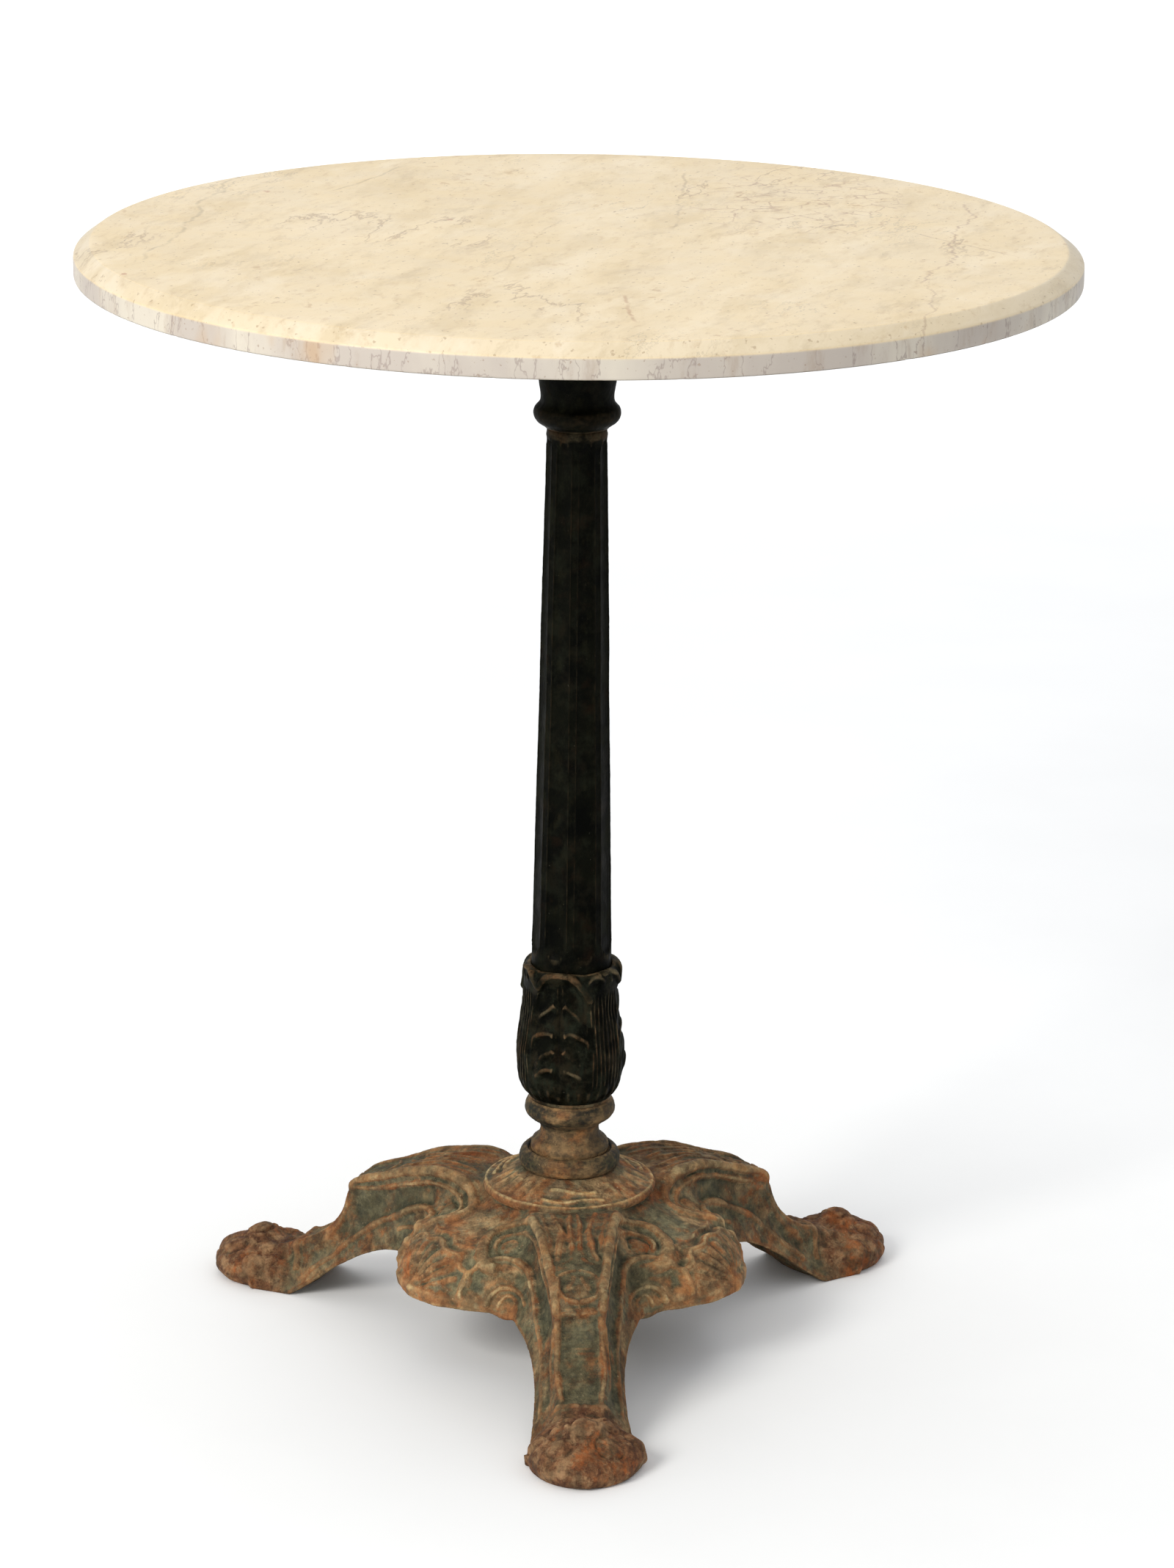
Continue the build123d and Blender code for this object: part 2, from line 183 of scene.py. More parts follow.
class Tree:
    def __init__(self, name):
        self.mat = bpy.data.materials.new(name)
        self.mat.use_nodes = True
        self.nt = self.mat.node_tree
        self.nt.nodes.clear()
        out = self.nt.nodes.new("ShaderNodeOutputMaterial")
        self.bsdf = self.nt.nodes.new("ShaderNodeBsdfPrincipled")
        self.nt.links.new(self.bsdf.outputs[0], out.inputs[0])
        self.coord = self.nt.nodes.new("ShaderNodeTexCoord").outputs["Object"]

    def put(self, socket, value):
        if isinstance(value, bpy.types.NodeSocket):
            self.nt.links.new(value, socket)
        elif isinstance(value, (tuple, list)) and len(value) == 3 and socket.type == "RGBA":
            socket.default_value = (*value, 1)
        else:
            socket.default_value = value

    def mapped(self, scale=(1, 1, 1), rot=(0, 0, 0), loc=(0, 0, 0), vec=None):
        n = self.nt.nodes.new("ShaderNodeMapping")
        n.vector_type = "POINT"
        self.put(n.inputs["Vector"], vec or self.coord)
        n.inputs["Scale"].default_value = scale
        n.inputs["Rotation"].default_value = rot
        n.inputs["Location"].default_value = loc
        return n.outputs[0]

    def noise(self, scale, detail=4, rough=0.55, vec=None, distortion=0.0, lac=2.0, color=False):
        n = self.nt.nodes.new("ShaderNodeTexNoise")
        self.put(n.inputs["Vector"], vec or self.coord)
        n.inputs["Scale"].default_value = scale
        n.inputs["Detail"].default_value = detail
        n.inputs["Roughness"].default_value = rough
        n.inputs["Lacunarity"].default_value = lac
        n.inputs["Distortion"].default_value = distortion
        return n.outputs["Color" if color else "Fac"]

    def voronoi(self, scale, vec=None, feature="F1", randomness=1.0):
        n = self.nt.nodes.new("ShaderNodeTexVoronoi")
        n.feature = feature
        self.put(n.inputs["Vector"], vec or self.coord)
        n.inputs["Scale"].default_value = scale
        n.inputs["Randomness"].default_value = randomness
        return n.outputs["Distance"]

    def ramp(self, fac, a, b, lo=0.0, hi=1.0):
        """Maps fac a..b to lo..hi, smooth and clamped."""
        n = self.nt.nodes.new("ShaderNodeMapRange")
        n.interpolation_type = "SMOOTHSTEP"
        n.clamp = True
        self.put(n.inputs["Value"], fac)
        n.inputs["From Min"].default_value = a
        n.inputs["From Max"].default_value = b
        n.inputs["To Min"].default_value = lo
        n.inputs["To Max"].default_value = hi
        return n.outputs[0]

    def math(self, op, a, b=0.0, c=0.0, clamp=False):
        n = self.nt.nodes.new("ShaderNodeMath")
        n.operation = op
        n.use_clamp = clamp
        self.put(n.inputs[0], a)
        self.put(n.inputs[1], b)
        if op in ("MULTIPLY_ADD", "COMPARE", "SMOOTH_MIN"):
            self.put(n.inputs[2], c)
        return n.outputs[0]

    def mix(self, fac, a, b, blend="MIX"):
        n = self.nt.nodes.new("ShaderNodeMix")
        n.data_type = "RGBA"
        n.blend_type = blend
        n.clamp_factor = True
        self.put(n.inputs[0], fac)
        self.put(n.inputs[6], a)
        self.put(n.inputs[7], b)
        return n.outputs[2]

    def attr(self, name):
        n = self.nt.nodes.new("ShaderNodeAttribute")
        n.attribute_type = "GEOMETRY"
        n.attribute_name = name
        return n.outputs["Fac"]

    def xyz(self, vec=None):
        n = self.nt.nodes.new("ShaderNodeSeparateXYZ")
        self.put(n.inputs[0], vec or self.coord)
        return n.outputs[0], n.outputs[1], n.outputs[2]

    def vadd(self, a, b, k):
        n = self.nt.nodes.new("ShaderNodeVectorMath")
        n.operation = "MULTIPLY_ADD"
        self.put(n.inputs[0], b)
        n.inputs[1].default_value = (k, k, k)
        self.put(n.inputs[2], a)
        return n.outputs[0]

    def bump(self, height, strength, distance):
        n = self.nt.nodes.new("ShaderNodeBump")
        self.put(n.inputs["Height"], height)
        n.inputs["Strength"].default_value = strength
        n.inputs["Distance"].default_value = distance
        return n.outputs[0]

    def done(self, color, rough, normal=None, metal=0.0, spec=None):
        self.put(self.bsdf.inputs["Base Color"], color)
        self.put(self.bsdf.inputs["Roughness"], rough)
        self.put(self.bsdf.inputs["Metallic"], metal)
        if spec is not None:
            self.put(self.bsdf.inputs["Specular IOR Level"], spec)
        if normal is not None:
            self.put(self.bsdf.inputs["Normal"], normal)
        return self.mat


def srgb(r, g, b):
    return tuple((c / 255 / 12.92) if c <= 10.3 else (((c / 255) + 0.055) / 1.055) ** 2.4 for c in (r, g, b))


# =====================================================================
#  Materials
# =====================================================================
def marble_material():
    t = Tree("marble")
    x, y, z = t.xyz()
    warp = t.noise(9, 4, 0.6, color=True)
    wob = t.vadd(t.coord, warp, 0.035)
    # the veining runs at about 68 degrees from +X
    grain = t.mapped(scale=(1.0, 0.30, 1.0), vec=t.mapped(rot=(0, 0, math.radians(22)), vec=wob))
    cloud = t.noise(5.5, 3, 0.5)
    col = t.mix(t.ramp(cloud, 0.34, 0.68), srgb(242, 229, 195), srgb(236, 221, 183))
    streak = t.noise(34, 8, 0.66, vec=grain)
    col = t.mix(t.ramp(streak, 0.47, 0.66, 0, 0.58), col, srgb(220, 203, 162))
    streak2 = t.noise(72, 9, 0.70, vec=t.mapped(loc=(3.1, 1.7, 0.4), vec=grain))
    col = t.mix(t.ramp(streak2, 0.52, 0.70, 0, 0.48), col, srgb(198, 180, 142))
    pale = t.noise(24, 6, 0.62, vec=t.mapped(loc=(7.3, 2.2, 1.4), vec=grain))
    col = t.mix(t.ramp(pale, 0.50, 0.66, 0, 0.65), col, srgb(248, 238, 210))
    dust = t.noise(190, 5, 0.66, vec=t.mapped(loc=(2.3, 6.2, 4.4), vec=grain))
    col = t.mix(t.ramp(dust, 0.54, 0.70, 0, 0.38), col, srgb(202, 176, 132))
    # hair veins: thin lines where a stretched noise passes its middle value
    hair = t.math("ABSOLUTE", t.math("SUBTRACT", t.noise(7.5, 7, 0.62, vec=t.mapped(loc=(1.3, 5.0, 0), vec=grain)), 0.5))
    where = t.ramp(t.noise(6.0, 2, 0.5, vec=t.mapped(loc=(4, 4, 4))), 0.50, 0.62)
    col = t.mix(t.math("MULTIPLY", t.ramp(hair, 0.0, 0.008, 0.50, 0), where), col, srgb(150, 122, 92))
    hair2 = t.math("ABSOLUTE", t.math("SUBTRACT", t.noise(13, 8, 0.66, vec=t.mapped(loc=(9.3, 2.0, 3), vec=grain)), 0.5))
    where2 = t.ramp(t.noise(8.0, 2, 0.5, vec=t.mapped(loc=(1, 8, 2))), 0.52, 0.66)
    col = t.mix(t.math("MULTIPLY", t.ramp(hair2, 0.0, 0.008, 0.42, 0), where2), col, srgb(138, 128, 112))
    # fine network towards the back right
    cell = t.voronoi(58, feature="DISTANCE_TO_EDGE", vec=t.vadd(t.coord, t.noise(30, 4, 0.6, color=True), 0.022))
    dx = t.math("DIVIDE", t.math("SUBTRACT", x, 0.145), 0.075)
    dy = t.math("DIVIDE", t.math("SUBTRACT", y, 0.125), 0.13)
    rr = t.math("ADD", t.math("MULTIPLY", dx, dx), t.math("MULTIPLY", dy, dy))
    net = t.math("MULTIPLY", t.ramp(cell, 0.0, 0.060, 0.52, 0), t.ramp(rr, 0.25, 1.3, 1, 0))
    net = t.math("MULTIPLY", net, t.ramp(t.noise(38, 3, 0.5), 0.40, 0.58))
    col = t.mix(net, col, srgb(158, 118, 92))
    # a longer jagged vein on the right and a few weaker ones elsewhere
    top_only = t.ramp(z, 0.7040, 0.7050)
    for x0, x1, y0, y1, wide, amp, strength, shade, seed in (
        (0.254, 0.196, 0.119, -0.136, 0.0007, 0.052, 0.62, (160, 126, 108), 1.0),
        (0.196, 0.178, -0.136, -0.262, 0.0006, 0.034, 0.50, (166, 138, 116), 3.0),
        (0.205, 0.262, 0.020, -0.060, 0.0007, 0.020, 0.50, (165, 135, 110), 4.0),
        (0.060, 0.081, 0.030, 0.225, 0.0008, 0.030, 0.50, (160, 140, 110), 5.0),
        (-0.262, -0.206, -0.063, 0.215, 0.0010, 0.034, 0.50, (160, 148, 118), 6.0),
        (-0.150, -0.097, 0.150, 0.249, 0.0008, 0.026, 0.45, (160, 146, 116), 7.0),
        (0.015, 0.017, -0.165, -0.245, 0.0009, 0.016, 0.60, (176, 130, 84), 8.0),
        (-0.060, -0.010, -0.120, 0.060, 0.0006, 0.030, 0.35, (170, 148, 112), 9.0),
    ):
        slope = (x1 - x0) / (y1 - y0)
        line = t.math("MULTIPLY_ADD", t.math("SUBTRACT", y, y0), slope, x0)
        jag = t.noise(17, 6, 0.60, vec=t.mapped(scale=(0.3, 1, 0.3), loc=(seed, seed * 2, 0)))
        line = t.math("MULTIPLY_ADD", t.math("SUBTRACT", jag, 0.5), amp, line)
        off = t.math("ABSOLUTE", t.math("SUBTRACT", x, line))
        on = t.ramp(off, wide * 0.3, wide * 2.0, strength * 0.8, 0)
        lo_y, hi_y = min(y0, y1), max(y0, y1)
        on = t.math("MULTIPLY", on, t.ramp(y, lo_y - 0.004, lo_y + 0.010))
        on = t.math("MULTIPLY", on, t.ramp(y, hi_y - 0.010, hi_y + 0.004, 1, 0))
        on = t.math("MULTIPLY", on, t.ramp(t.noise(60, 3, 0.6), 0.34, 0.56, 0.25, 1))
        col = t.mix(on, col, srgb(*shade))
    # specks
    speck = t.noise(330, 2, 0.5, vec=t.mapped(scale=(1, 0.6, 1), vec=t.mapped(rot=(0, 0, math.radians(22)))))
    col = t.mix(t.ramp(speck, 0.655, 0.72, 0, 0.55), col, srgb(160, 134, 100))
    speck2 = t.noise(120, 3, 0.6, vec=t.mapped(scale=(1, 0.7, 1), loc=(2, 2, 2)))
    col = t.mix(t.math("MULTIPLY", t.ramp(speck2, 0.62, 0.72, 0, 0.5), t.ramp(t.noise(10, 2, 0.5), 0.45, 0.62)), col, srgb(192, 160, 112))
    # three small reddish marks
    for mx, my, mr in ((-0.188, 0.159, 0.004), (-0.076, 0.063, 0.003), (-0.272, -0.105, 0.0035)):
        ax = t.math("SUBTRACT", x, mx)
        ay = t.math("MULTIPLY", t.math("SUBTRACT", y, my), 0.6)
        d2 = t.math("SQRT", t.math("ADD", t.math("MULTIPLY", ax, ax), t.math("MULTIPLY", ay, ay)))
        d2 = t.math("MULTIPLY_ADD", t.math("SUBTRACT", t.noise(400, 2, 0.5), 0.5), mr * 1.6, d2)
        col = t.mix(t.ramp(d2, mr * 0.25, mr * 0.7, 0.55, 0), col, srgb(176, 108, 70))
    # bevel: a clearer yellow cream; upright edge: paler, greyer, with upright veins
    bevel = t.math("MULTIPLY", t.ramp(z, 0.7046, 0.7054), t.ramp(z, 0.7115, 0.71195, 1, 0))
    col = t.mix(t.math("MULTIPLY", bevel, 0.14), col, srgb(250, 236, 196))
    edge_cloud = t.noise(16, 4, 0.55, vec=t.mapped(scale=(1, 1, 0.35)))
    edge = t.mix(t.ramp(edge_cloud, 0.36, 0.62), srgb(250, 242, 226), srgb(226, 216, 206))
    e1 = t.noise(60, 6, 0.66, vec=t.mapped(scale=(1, 1, 0.30), loc=(5, 1, 1)))
    edge = t.mix(t.ramp(e1, 0.52, 0.68, 0, 0.55), edge, srgb(206, 186, 168))
    e2 = t.math("ABSOLUTE", t.math("SUBTRACT", t.noise(34, 5, 0.6, vec=t.mapped(scale=(1, 1, 0.42), loc=(2, 7, 1))), 0.5))
    edge = t.mix(t.ramp(e2, 0.0, 0.012, 0.55, 0), edge, srgb(170, 152, 146))
    e3 = t.noise(24, 3, 0.5, vec=t.mapped(scale=(1, 1, 0.5), loc=(8, 3, 1)))
    edge = t.mix(t.ramp(e3, 0.60, 0.74, 0, 0.55), edge, srgb(222, 178, 124))
    edge = t.mix(t.ramp(t.noise(420, 2, 0.5), 0.66, 0.73, 0, 0.5), edge, srgb(178, 150, 128))
    on_edge = t.ramp(z, 0.7035, 0.7052, 1, 0)
    below = t.ramp(z, 0.6921, 0.6928, 1, 0)
    col = t.mix(on_edge, col, edge)
    saw = t.math("SINE", t.math("MULTIPLY", t.math("ADD", y, t.math("MULTIPLY", t.noise(12, 2, 0.5), 0.004)), 1900))
    rough_side = t.mix(t.ramp(t.noise(13, 8, 0.72), 0.34, 0.66), srgb(208, 198, 176), srgb(190, 179, 155))
    rough_side = t.mix(t.ramp(t.noise(90, 6, 0.7, vec=t.mapped(loc=(3, 8, 2))), 0.50, 0.68, 0, 0.55), rough_side, srgb(166, 154, 132))
    rough_side = t.mix(t.ramp(saw, -0.2, 1.0, 0, 0.30), rough_side, srgb(160, 150, 130))
    col = t.mix(below, col, rough_side)
    rough = t.math("ADD", t.ramp(t.noise(40, 4, 0.6), 0.3, 0.7, 0.28, 0.42), t.math("MULTIPLY", on_edge, 0.16))
    rough = t.math("ADD", rough, t.math("MULTIPLY", below, 0.3), clamp=True)
    face = t.mix(bevel, (0.865, 0.79, 0.715), (0.765, 0.73, 0.745))
    col = t.mix(1.0, col, t.mix(on_edge, face, (0.60, 0.585, 0.565)), "MULTIPLY")
    n = t.bump(t.math("ADD", t.noise(900, 3, 0.6), t.math("MULTIPLY", t.noise(120, 3, 0.5), 2.0)), 0.10, 0.0004)
    return t.done(col, rough, n, spec=0.35)


def black_iron_material(name="iron_black", lift=1.0, warm=1.0):
    """Aged black paint on cast iron, worn to brown on the ridges (attribute ridge), partly as painted highlight, with
    painted shade in the hollows.
    """
    t = Tree(name)
    ridge = t.attr("ridge")
    n1 = t.noise(38, 6, 0.62)
    n2 = t.noise(120, 5, 0.65, vec=t.mapped(scale=(1, 1, 0.45)))
    n3 = t.noise(420, 3, 0.6)
    c = t.mix(t.ramp(n1, 0.38, 0.64), (0.0006 * lift, 0.0008 * lift, 0.0004 * lift), (0.0026 * lift, 0.0029 * lift, 0.0013 * lift))
    c = t.mix(t.ramp(n2, 0.52, 0.72, 0, 0.75), c, (0.0080 * lift * warm, 0.0070 * lift, 0.0032 * lift))
    c = t.mix(t.ramp(t.noise(60, 5, 0.6, vec=t.mapped(loc=(3, 1, 5))), 0.55, 0.72, 0, 0.6), c, (0.0085 * lift * warm, 0.0045 * lift, 0.0020 * lift))
    # brown on the ridges: partly worn paint, partly painted highlight
    w = t.math("MULTIPLY", t.ramp(ridge, 0.16, 0.80), t.ramp(t.noise(90, 5, 0.7), 0.36, 0.60, 0.12, 1))
    w = t.math("MULTIPLY", w, t.ramp(t.noise(34, 4, 0.6, vec=t.mapped(loc=(6, 2, 8))), 0.34, 0.54, 0.72, 1))
    w = t.math("MULTIPLY", w, t.attr("wear"))
    soft = t.math("MULTIPLY", t.ramp(t.noise(75, 6, 0.7, vec=t.mapped(loc=(9, 4, 2))), 0.42, 0.64), t.attr("wear"))
    c = t.mix(t.math("MULTIPLY", soft, 0.75), c, t.mix(t.ramp(n2, 0.4, 0.6), (0.024, 0.019, 0.010), (0.020, 0.024, 0.015)))
    c = t.mix(t.math("MULTIPLY", w, 0.95), c, t.mix(t.ramp(n1, 0.4, 0.6), (0.180, 0.145, 0.082), (0.170, 0.088, 0.040)))
    # painted shade: the hollows are pushed to the darkest black
    hollow = t.ramp(ridge, -0.7, -0.1, 0.85, 0)
    c = t.mix(hollow, c, (0.0015, 0.0014, 0.0011))
    c = t.mix(t.ramp(n3, 0.70, 0.76, 0, 0.4), c, (0.07, 0.065, 0.045))
    rough = t.ramp(n2, 0.3, 0.7, 0.42, 0.66)
    h = t.math("ADD", t.math("MULTIPLY", t.noise(260, 4, 0.6), 1.0), t.math("MULTIPLY", n3, 0.5))
    return t.done(c, rough, t.bump(h, 0.45, 0.0006), spec=0.028)


def rust_material(name):
    """Old rust over remains of grey-green paint. Attributes: ridge (relief), foot (0..1 towards the feet)."""
    t = Tree(name)
    ridge = t.attr("ridge")
    foot = t.attr("foot")
    big = t.noise(13, 5, 0.60)
    mid = t.noise(62, 6, 0.68, distortion=0.2)
    fine = t.noise(210, 5, 0.70)
    tiny = t.noise(640, 3, 0.62)
    tan = t.mix(t.ramp(fine, 0.36, 0.64), srgb(138, 112, 84), srgb(168, 142, 110))
    rust = t.mix(t.ramp(fine, 0.36, 0.64), srgb(122, 76, 48), srgb(158, 104, 66))
    hot = t.mix(t.ramp(mid, 0.36, 0.64), srgb(146, 78, 38), srgb(172, 98, 54))
    brown = t.mix(t.ramp(fine, 0.36, 0.64), srgb(84, 66, 50), srgb(120, 94, 70))
    teal = t.mix(t.ramp(fine, 0.34, 0.66), srgb(74, 75, 60), srgb(110, 108, 88))
    slate = t.mix(t.ramp(fine, 0.34, 0.66), srgb(92, 92, 80), srgb(132, 126, 104))
    c = t.mix(t.ramp(mid, 0.42, 0.58), brown, tan)
    c = t.mix(t.ramp(t.noise(34, 6, 0.68, vec=t.mapped(loc=(5, 3, 2))), 0.45, 0.60, 0, 0.85), c, rust)
    c = t.mix(t.ramp(t.noise(26, 7, 0.72, vec=t.mapped(loc=(1, 3, 9))), 0.55, 0.66, 0, 0.70), c, hot)
    # patina fills the hollows and lies in soft patches
    patch = t.math("ADD", t.noise(21, 7, 0.68, vec=t.mapped(loc=(2, 9, 4))), t.math("MULTIPLY", ridge, -0.14))
    c = t.mix(t.ramp(patch, 0.47, 0.60, 0, 0.86), c, teal)
    patch2 = t.math("ADD", t.noise(52, 6, 0.70, vec=t.mapped(loc=(8, 2, 1))), t.math("MULTIPLY", ridge, -0.10))
    c = t.mix(t.ramp(patch2, 0.50, 0.60, 0, 0.62), c, slate)
    # painted shade: the small hollows are darkened further, over the patina
    c = t.mix(t.ramp(ridge, -0.95, -0.25, 0.66, 0), c, srgb(46, 44, 34))
    # rust shows along the shoulders of the relief; the pale tan on what stands proud is partly rubbed wear and partly
    # painted highlight
    sh = t.math("MULTIPLY", t.ramp(ridge, 0.04, 0.18), t.ramp(ridge, 0.30, 0.55, 1, 0))
    c = t.mix(t.math("MULTIPLY", sh, t.ramp(mid, 0.42, 0.60, 0.05, 0.55)), c, rust)
    hi = t.math("MULTIPLY", t.ramp(ridge, 0.34, 0.90), t.ramp(fine, 0.36, 0.60, 0.30, 1))
    hi = t.math("MULTIPLY", hi, t.ramp(t.noise(48, 4, 0.6, vec=t.mapped(loc=(6, 6, 3))), 0.40, 0.60, 0.35, 1))
    c = t.mix(t.math("MULTIPLY", hi, 0.85), c, t.mix(t.ramp(mid, 0.42, 0.64), srgb(196, 176, 140), srgb(176, 134, 92)))
    # feet: heavier red-brown crust with pale specks
    crust = t.mix(t.ramp(fine, 0.38, 0.62), srgb(96, 62, 44), srgb(142, 102, 76))
    crust = t.mix(t.ramp(t.noise(80, 6, 0.72, vec=t.mapped(loc=(1, 1, 8))), 0.46, 0.60, 0, 0.80), crust, srgb(176, 144, 114))
    crust = t.mix(t.ramp(t.noise(32, 6, 0.72, vec=t.mapped(loc=(7, 1, 3))), 0.52, 0.64, 0, 0.80), crust, srgb(172, 100, 54))
    crust = t.mix(t.ramp(t.noise(58, 6, 0.70, vec=t.mapped(loc=(3, 6, 3))), 0.54, 0.66, 0, 0.60), crust, srgb(96, 88, 72))
    crust = t.mix(t.ramp(t.voronoi(230), 0.0, 0.24, 0.30, 0), crust, srgb(56, 38, 30))
    # pale crests, partly rubbed crust and partly painted highlight; dark hollows, painted shade
    crust = t.mix(t.ramp(ridge, 0.25, 0.9, 0, 0.60), crust, srgb(196, 164, 136))
    crust = t.mix(t.ramp(ridge, -0.95, -0.30, 0.45, 0), crust, srgb(56, 38, 28))
    k = t.ramp(t.math("ADD", t.noise(30, 6, 0.68), t.math("MULTIPLY", foot, 0.50)), 0.68, 1.00)
    c = t.mix(t.math("MULTIPLY", t.ramp(foot, 0.0, 0.4), k), c, crust)
    # painted shade: broad hollows are darkened to stand in for shadow, and broad bulges are lightened as a painted
    # highlight
    painted_shade_depth = t.attr("painted_shade_depth")
    painted_hollow_shade = t.math("MULTIPLY", t.ramp(painted_shade_depth, -0.95, -0.05, 0.62, 0), t.ramp(t.noise(36, 6, 0.7, vec=t.mapped(loc=(4, 7, 7))), 0.38, 0.60, 1.0, 0.35))
    c = t.mix(painted_hollow_shade, c, t.mix(t.ramp(mid, 0.4, 0.6), srgb(50, 54, 42), srgb(82, 78, 60)))
    c = t.mix(t.ramp(painted_shade_depth, 0.25, 0.95, 0, 0.16), c, t.mix(t.ramp(mid, 0.4, 0.6), srgb(180, 152, 116), srgb(170, 118, 76)))
    # the medallion is paler: cream tips, partly rubbed wear and partly painted highlight, over nearly black hollows of
    # painted shade
    med = t.attr("med")
    worn_tip_highlight = t.math("MULTIPLY", t.ramp(ridge, 0.0, 0.42), t.ramp(fine, 0.36, 0.60, 0.35, 1))
    c = t.mix(t.math("MULTIPLY", t.math("MULTIPLY", med, worn_tip_highlight), 0.75), c, t.mix(t.ramp(mid, 0.42, 0.62), srgb(206, 186, 146), srgb(178, 142, 98)))
    c = t.mix(t.math("MULTIPLY", med, t.ramp(ridge, -0.60, -0.02, 0.72, 0)), c, srgb(48, 50, 38))
    # pits, and dark and light specks
    c = t.mix(t.ramp(fine, 0.66, 0.80, 0, 0.6), c, srgb(56, 44, 34))
    c = t.mix(t.ramp(tiny, 0.64, 0.75, 0, 0.55), c, srgb(204, 182, 152))
    c = t.mix(t.ramp(tiny, 0.26, 0.37, 0.50, 0), c, srgb(46, 36, 28))
    h = t.math("ADD", t.math("MULTIPLY", fine, 1.2), t.math("MULTIPLY", tiny, 0.7))
    h = t.math("ADD", h, t.math("MULTIPLY", t.voronoi(260), t.math("MULTIPLY_ADD", foot, 0.9, 0.25)))
    mottle = t.ramp(t.noise(95, 6, 0.70, vec=t.mapped(loc=(3, 3, 6))), 0.34, 0.66, 0.62, 1.32)
    c = t.mix(1.0, c, mottle, "MULTIPLY")
    tone = t.mix(t.attr("pale"), (0.68, 0.66, 0.55), (0.95, 0.93, 0.78))
    c = t.mix(1.0, c, t.mix(foot, tone, (0.62, 0.57, 0.46)), "MULTIPLY")
    return t.done(c, t.ramp(fine, 0.3, 0.7, 0.70, 0.92), t.bump(h, 0.75, 0.0012), spec=0.20)


def knop_material(name, tone):
    """The plain turned rings above the base: brown and tan rust with grey-green bands."""
    t = Tree(name)
    ridge = t.attr("ridge")
    x, y, z = t.xyz()
    band = t.noise(20, 6, 0.62, vec=t.mapped(scale=(1, 1, 2.4), loc=(tone, 2, 1)))
    fine = t.noise(170, 5, 0.68, vec=t.mapped(scale=(1, 1, 1.6)))
    tiny = t.noise(560, 3, 0.6)
    a = t.mix(t.ramp(fine, 0.36, 0.64), srgb(92, 74, 54), srgb(138, 112, 84))
    b = t.mix(t.ramp(fine, 0.36, 0.64), srgb(140, 90, 54), srgb(182, 126, 80))
    g = t.mix(t.ramp(fine, 0.36, 0.64), srgb(16, 19, 14), srgb(56, 58, 43))
    c = t.mix(t.ramp(t.noise(34, 5, 0.62, vec=t.mapped(loc=(1, tone, 4))), 0.50, 0.64, 0, 0.85), a, b)
    c = t.mix(t.ramp(band, 0.50 - 0.016 * tone, 0.62 - 0.016 * tone, 0, 0.95), c, g)
    # painted shade: the left and right sides (large |x|) are darkened towards the patina colour
    painted_side_shade = t.math("ADD", t.math("ABSOLUTE", x), t.math("MULTIPLY_ADD", t.noise(45, 5, 0.65, vec=t.mapped(loc=(7, 1, 2))), 0.020, -0.010))
    c = t.mix(t.ramp(painted_side_shade, 0.011, 0.026, 0, 0.55 + 0.08 * tone), c, g)
    # painted shade in the hollows, painted highlight on the crests
    c = t.mix(t.ramp(ridge, -0.6, -0.08, 0.72, 0), c, srgb(34, 32, 26))
    c = t.mix(t.math("MULTIPLY", t.ramp(ridge, 0.05, 0.5, 0, 0.6), t.ramp(fine, 0.36, 0.58, 0.3, 1)), c, srgb(178, 142, 104))
    c = t.mix(t.ramp(tiny, 0.67, 0.75, 0, 0.5), c, srgb(200, 172, 138))
    c = t.mix(t.ramp(tiny, 0.26, 0.35, 0.4, 0), c, srgb(34, 28, 22))
    h = t.math("ADD", fine, t.math("MULTIPLY", tiny, 0.5))
    mottle = t.ramp(t.noise(70, 6, 0.70, vec=t.mapped(loc=(3, 3, 6))), 0.34, 0.66, 0.55, 1.35)
    c = t.mix(1.0, c, mottle, "MULTIPLY")
    k = 1.0 + 0.03 * tone
    c = t.mix(1.0, c, (0.62 * k, 0.60 * k, 0.49 * k), "MULTIPLY")
    return t.done(c, t.ramp(fine, 0.3, 0.7, 0.66, 0.88), t.bump(h, 0.6, 0.0009), spec=0.25)


def plain_iron_material():
    t = Tree("iron_plain")
    n1 = t.noise(40, 6, 0.62)
    n2 = t.noise(240, 4, 0.62)
    c = t.mix(t.ramp(n1, 0.38, 0.62), (0.020, 0.018, 0.014), (0.050, 0.042, 0.032))
    c = t.mix(t.ramp(t.noise(70, 5, 0.66, vec=t.mapped(loc=(4, 2, 1))), 0.52, 0.66, 0, 0.8), c, (0.110, 0.050, 0.024))
    c = t.mix(t.ramp(n2, 0.66, 0.76, 0, 0.5), c, (0.12, 0.10, 0.07))
    h = t.math("ADD", n2, t.math("MULTIPLY", t.noise(700, 3, 0.6), 0.5))
    return t.done(c, t.ramp(n2, 0.3, 0.7, 0.62, 0.86), t.bump(h, 0.7, 0.0007), spec=0.3)


def steel_material():
    t = Tree("steel")
    n1 = t.noise(120, 5, 0.6)
    turn = t.noise(60, 3, 0.5, vec=t.mapped(scale=(1, 1, 24)))
    c = t.mix(t.ramp(n1, 0.38, 0.62), (0.30, 0.29, 0.27), (0.44, 0.42, 0.38))
    rust = t.ramp(t.noise(160, 6, 0.68, vec=t.mapped(loc=(2, 2, 7))), 0.54, 0.66)
    c = t.mix(t.math("MULTIPLY", rust, 0.8), c, (0.150, 0.070, 0.034))
    metal = t.math("MULTIPLY_ADD", rust, -0.75, 0.9)
    return t.done(c, t.ramp(n1, 0.3, 0.7, 0.34, 0.58), t.bump(t.math("ADD", turn, t.noise(800, 2, 0.5)), 0.25, 0.0002), metal=metal)


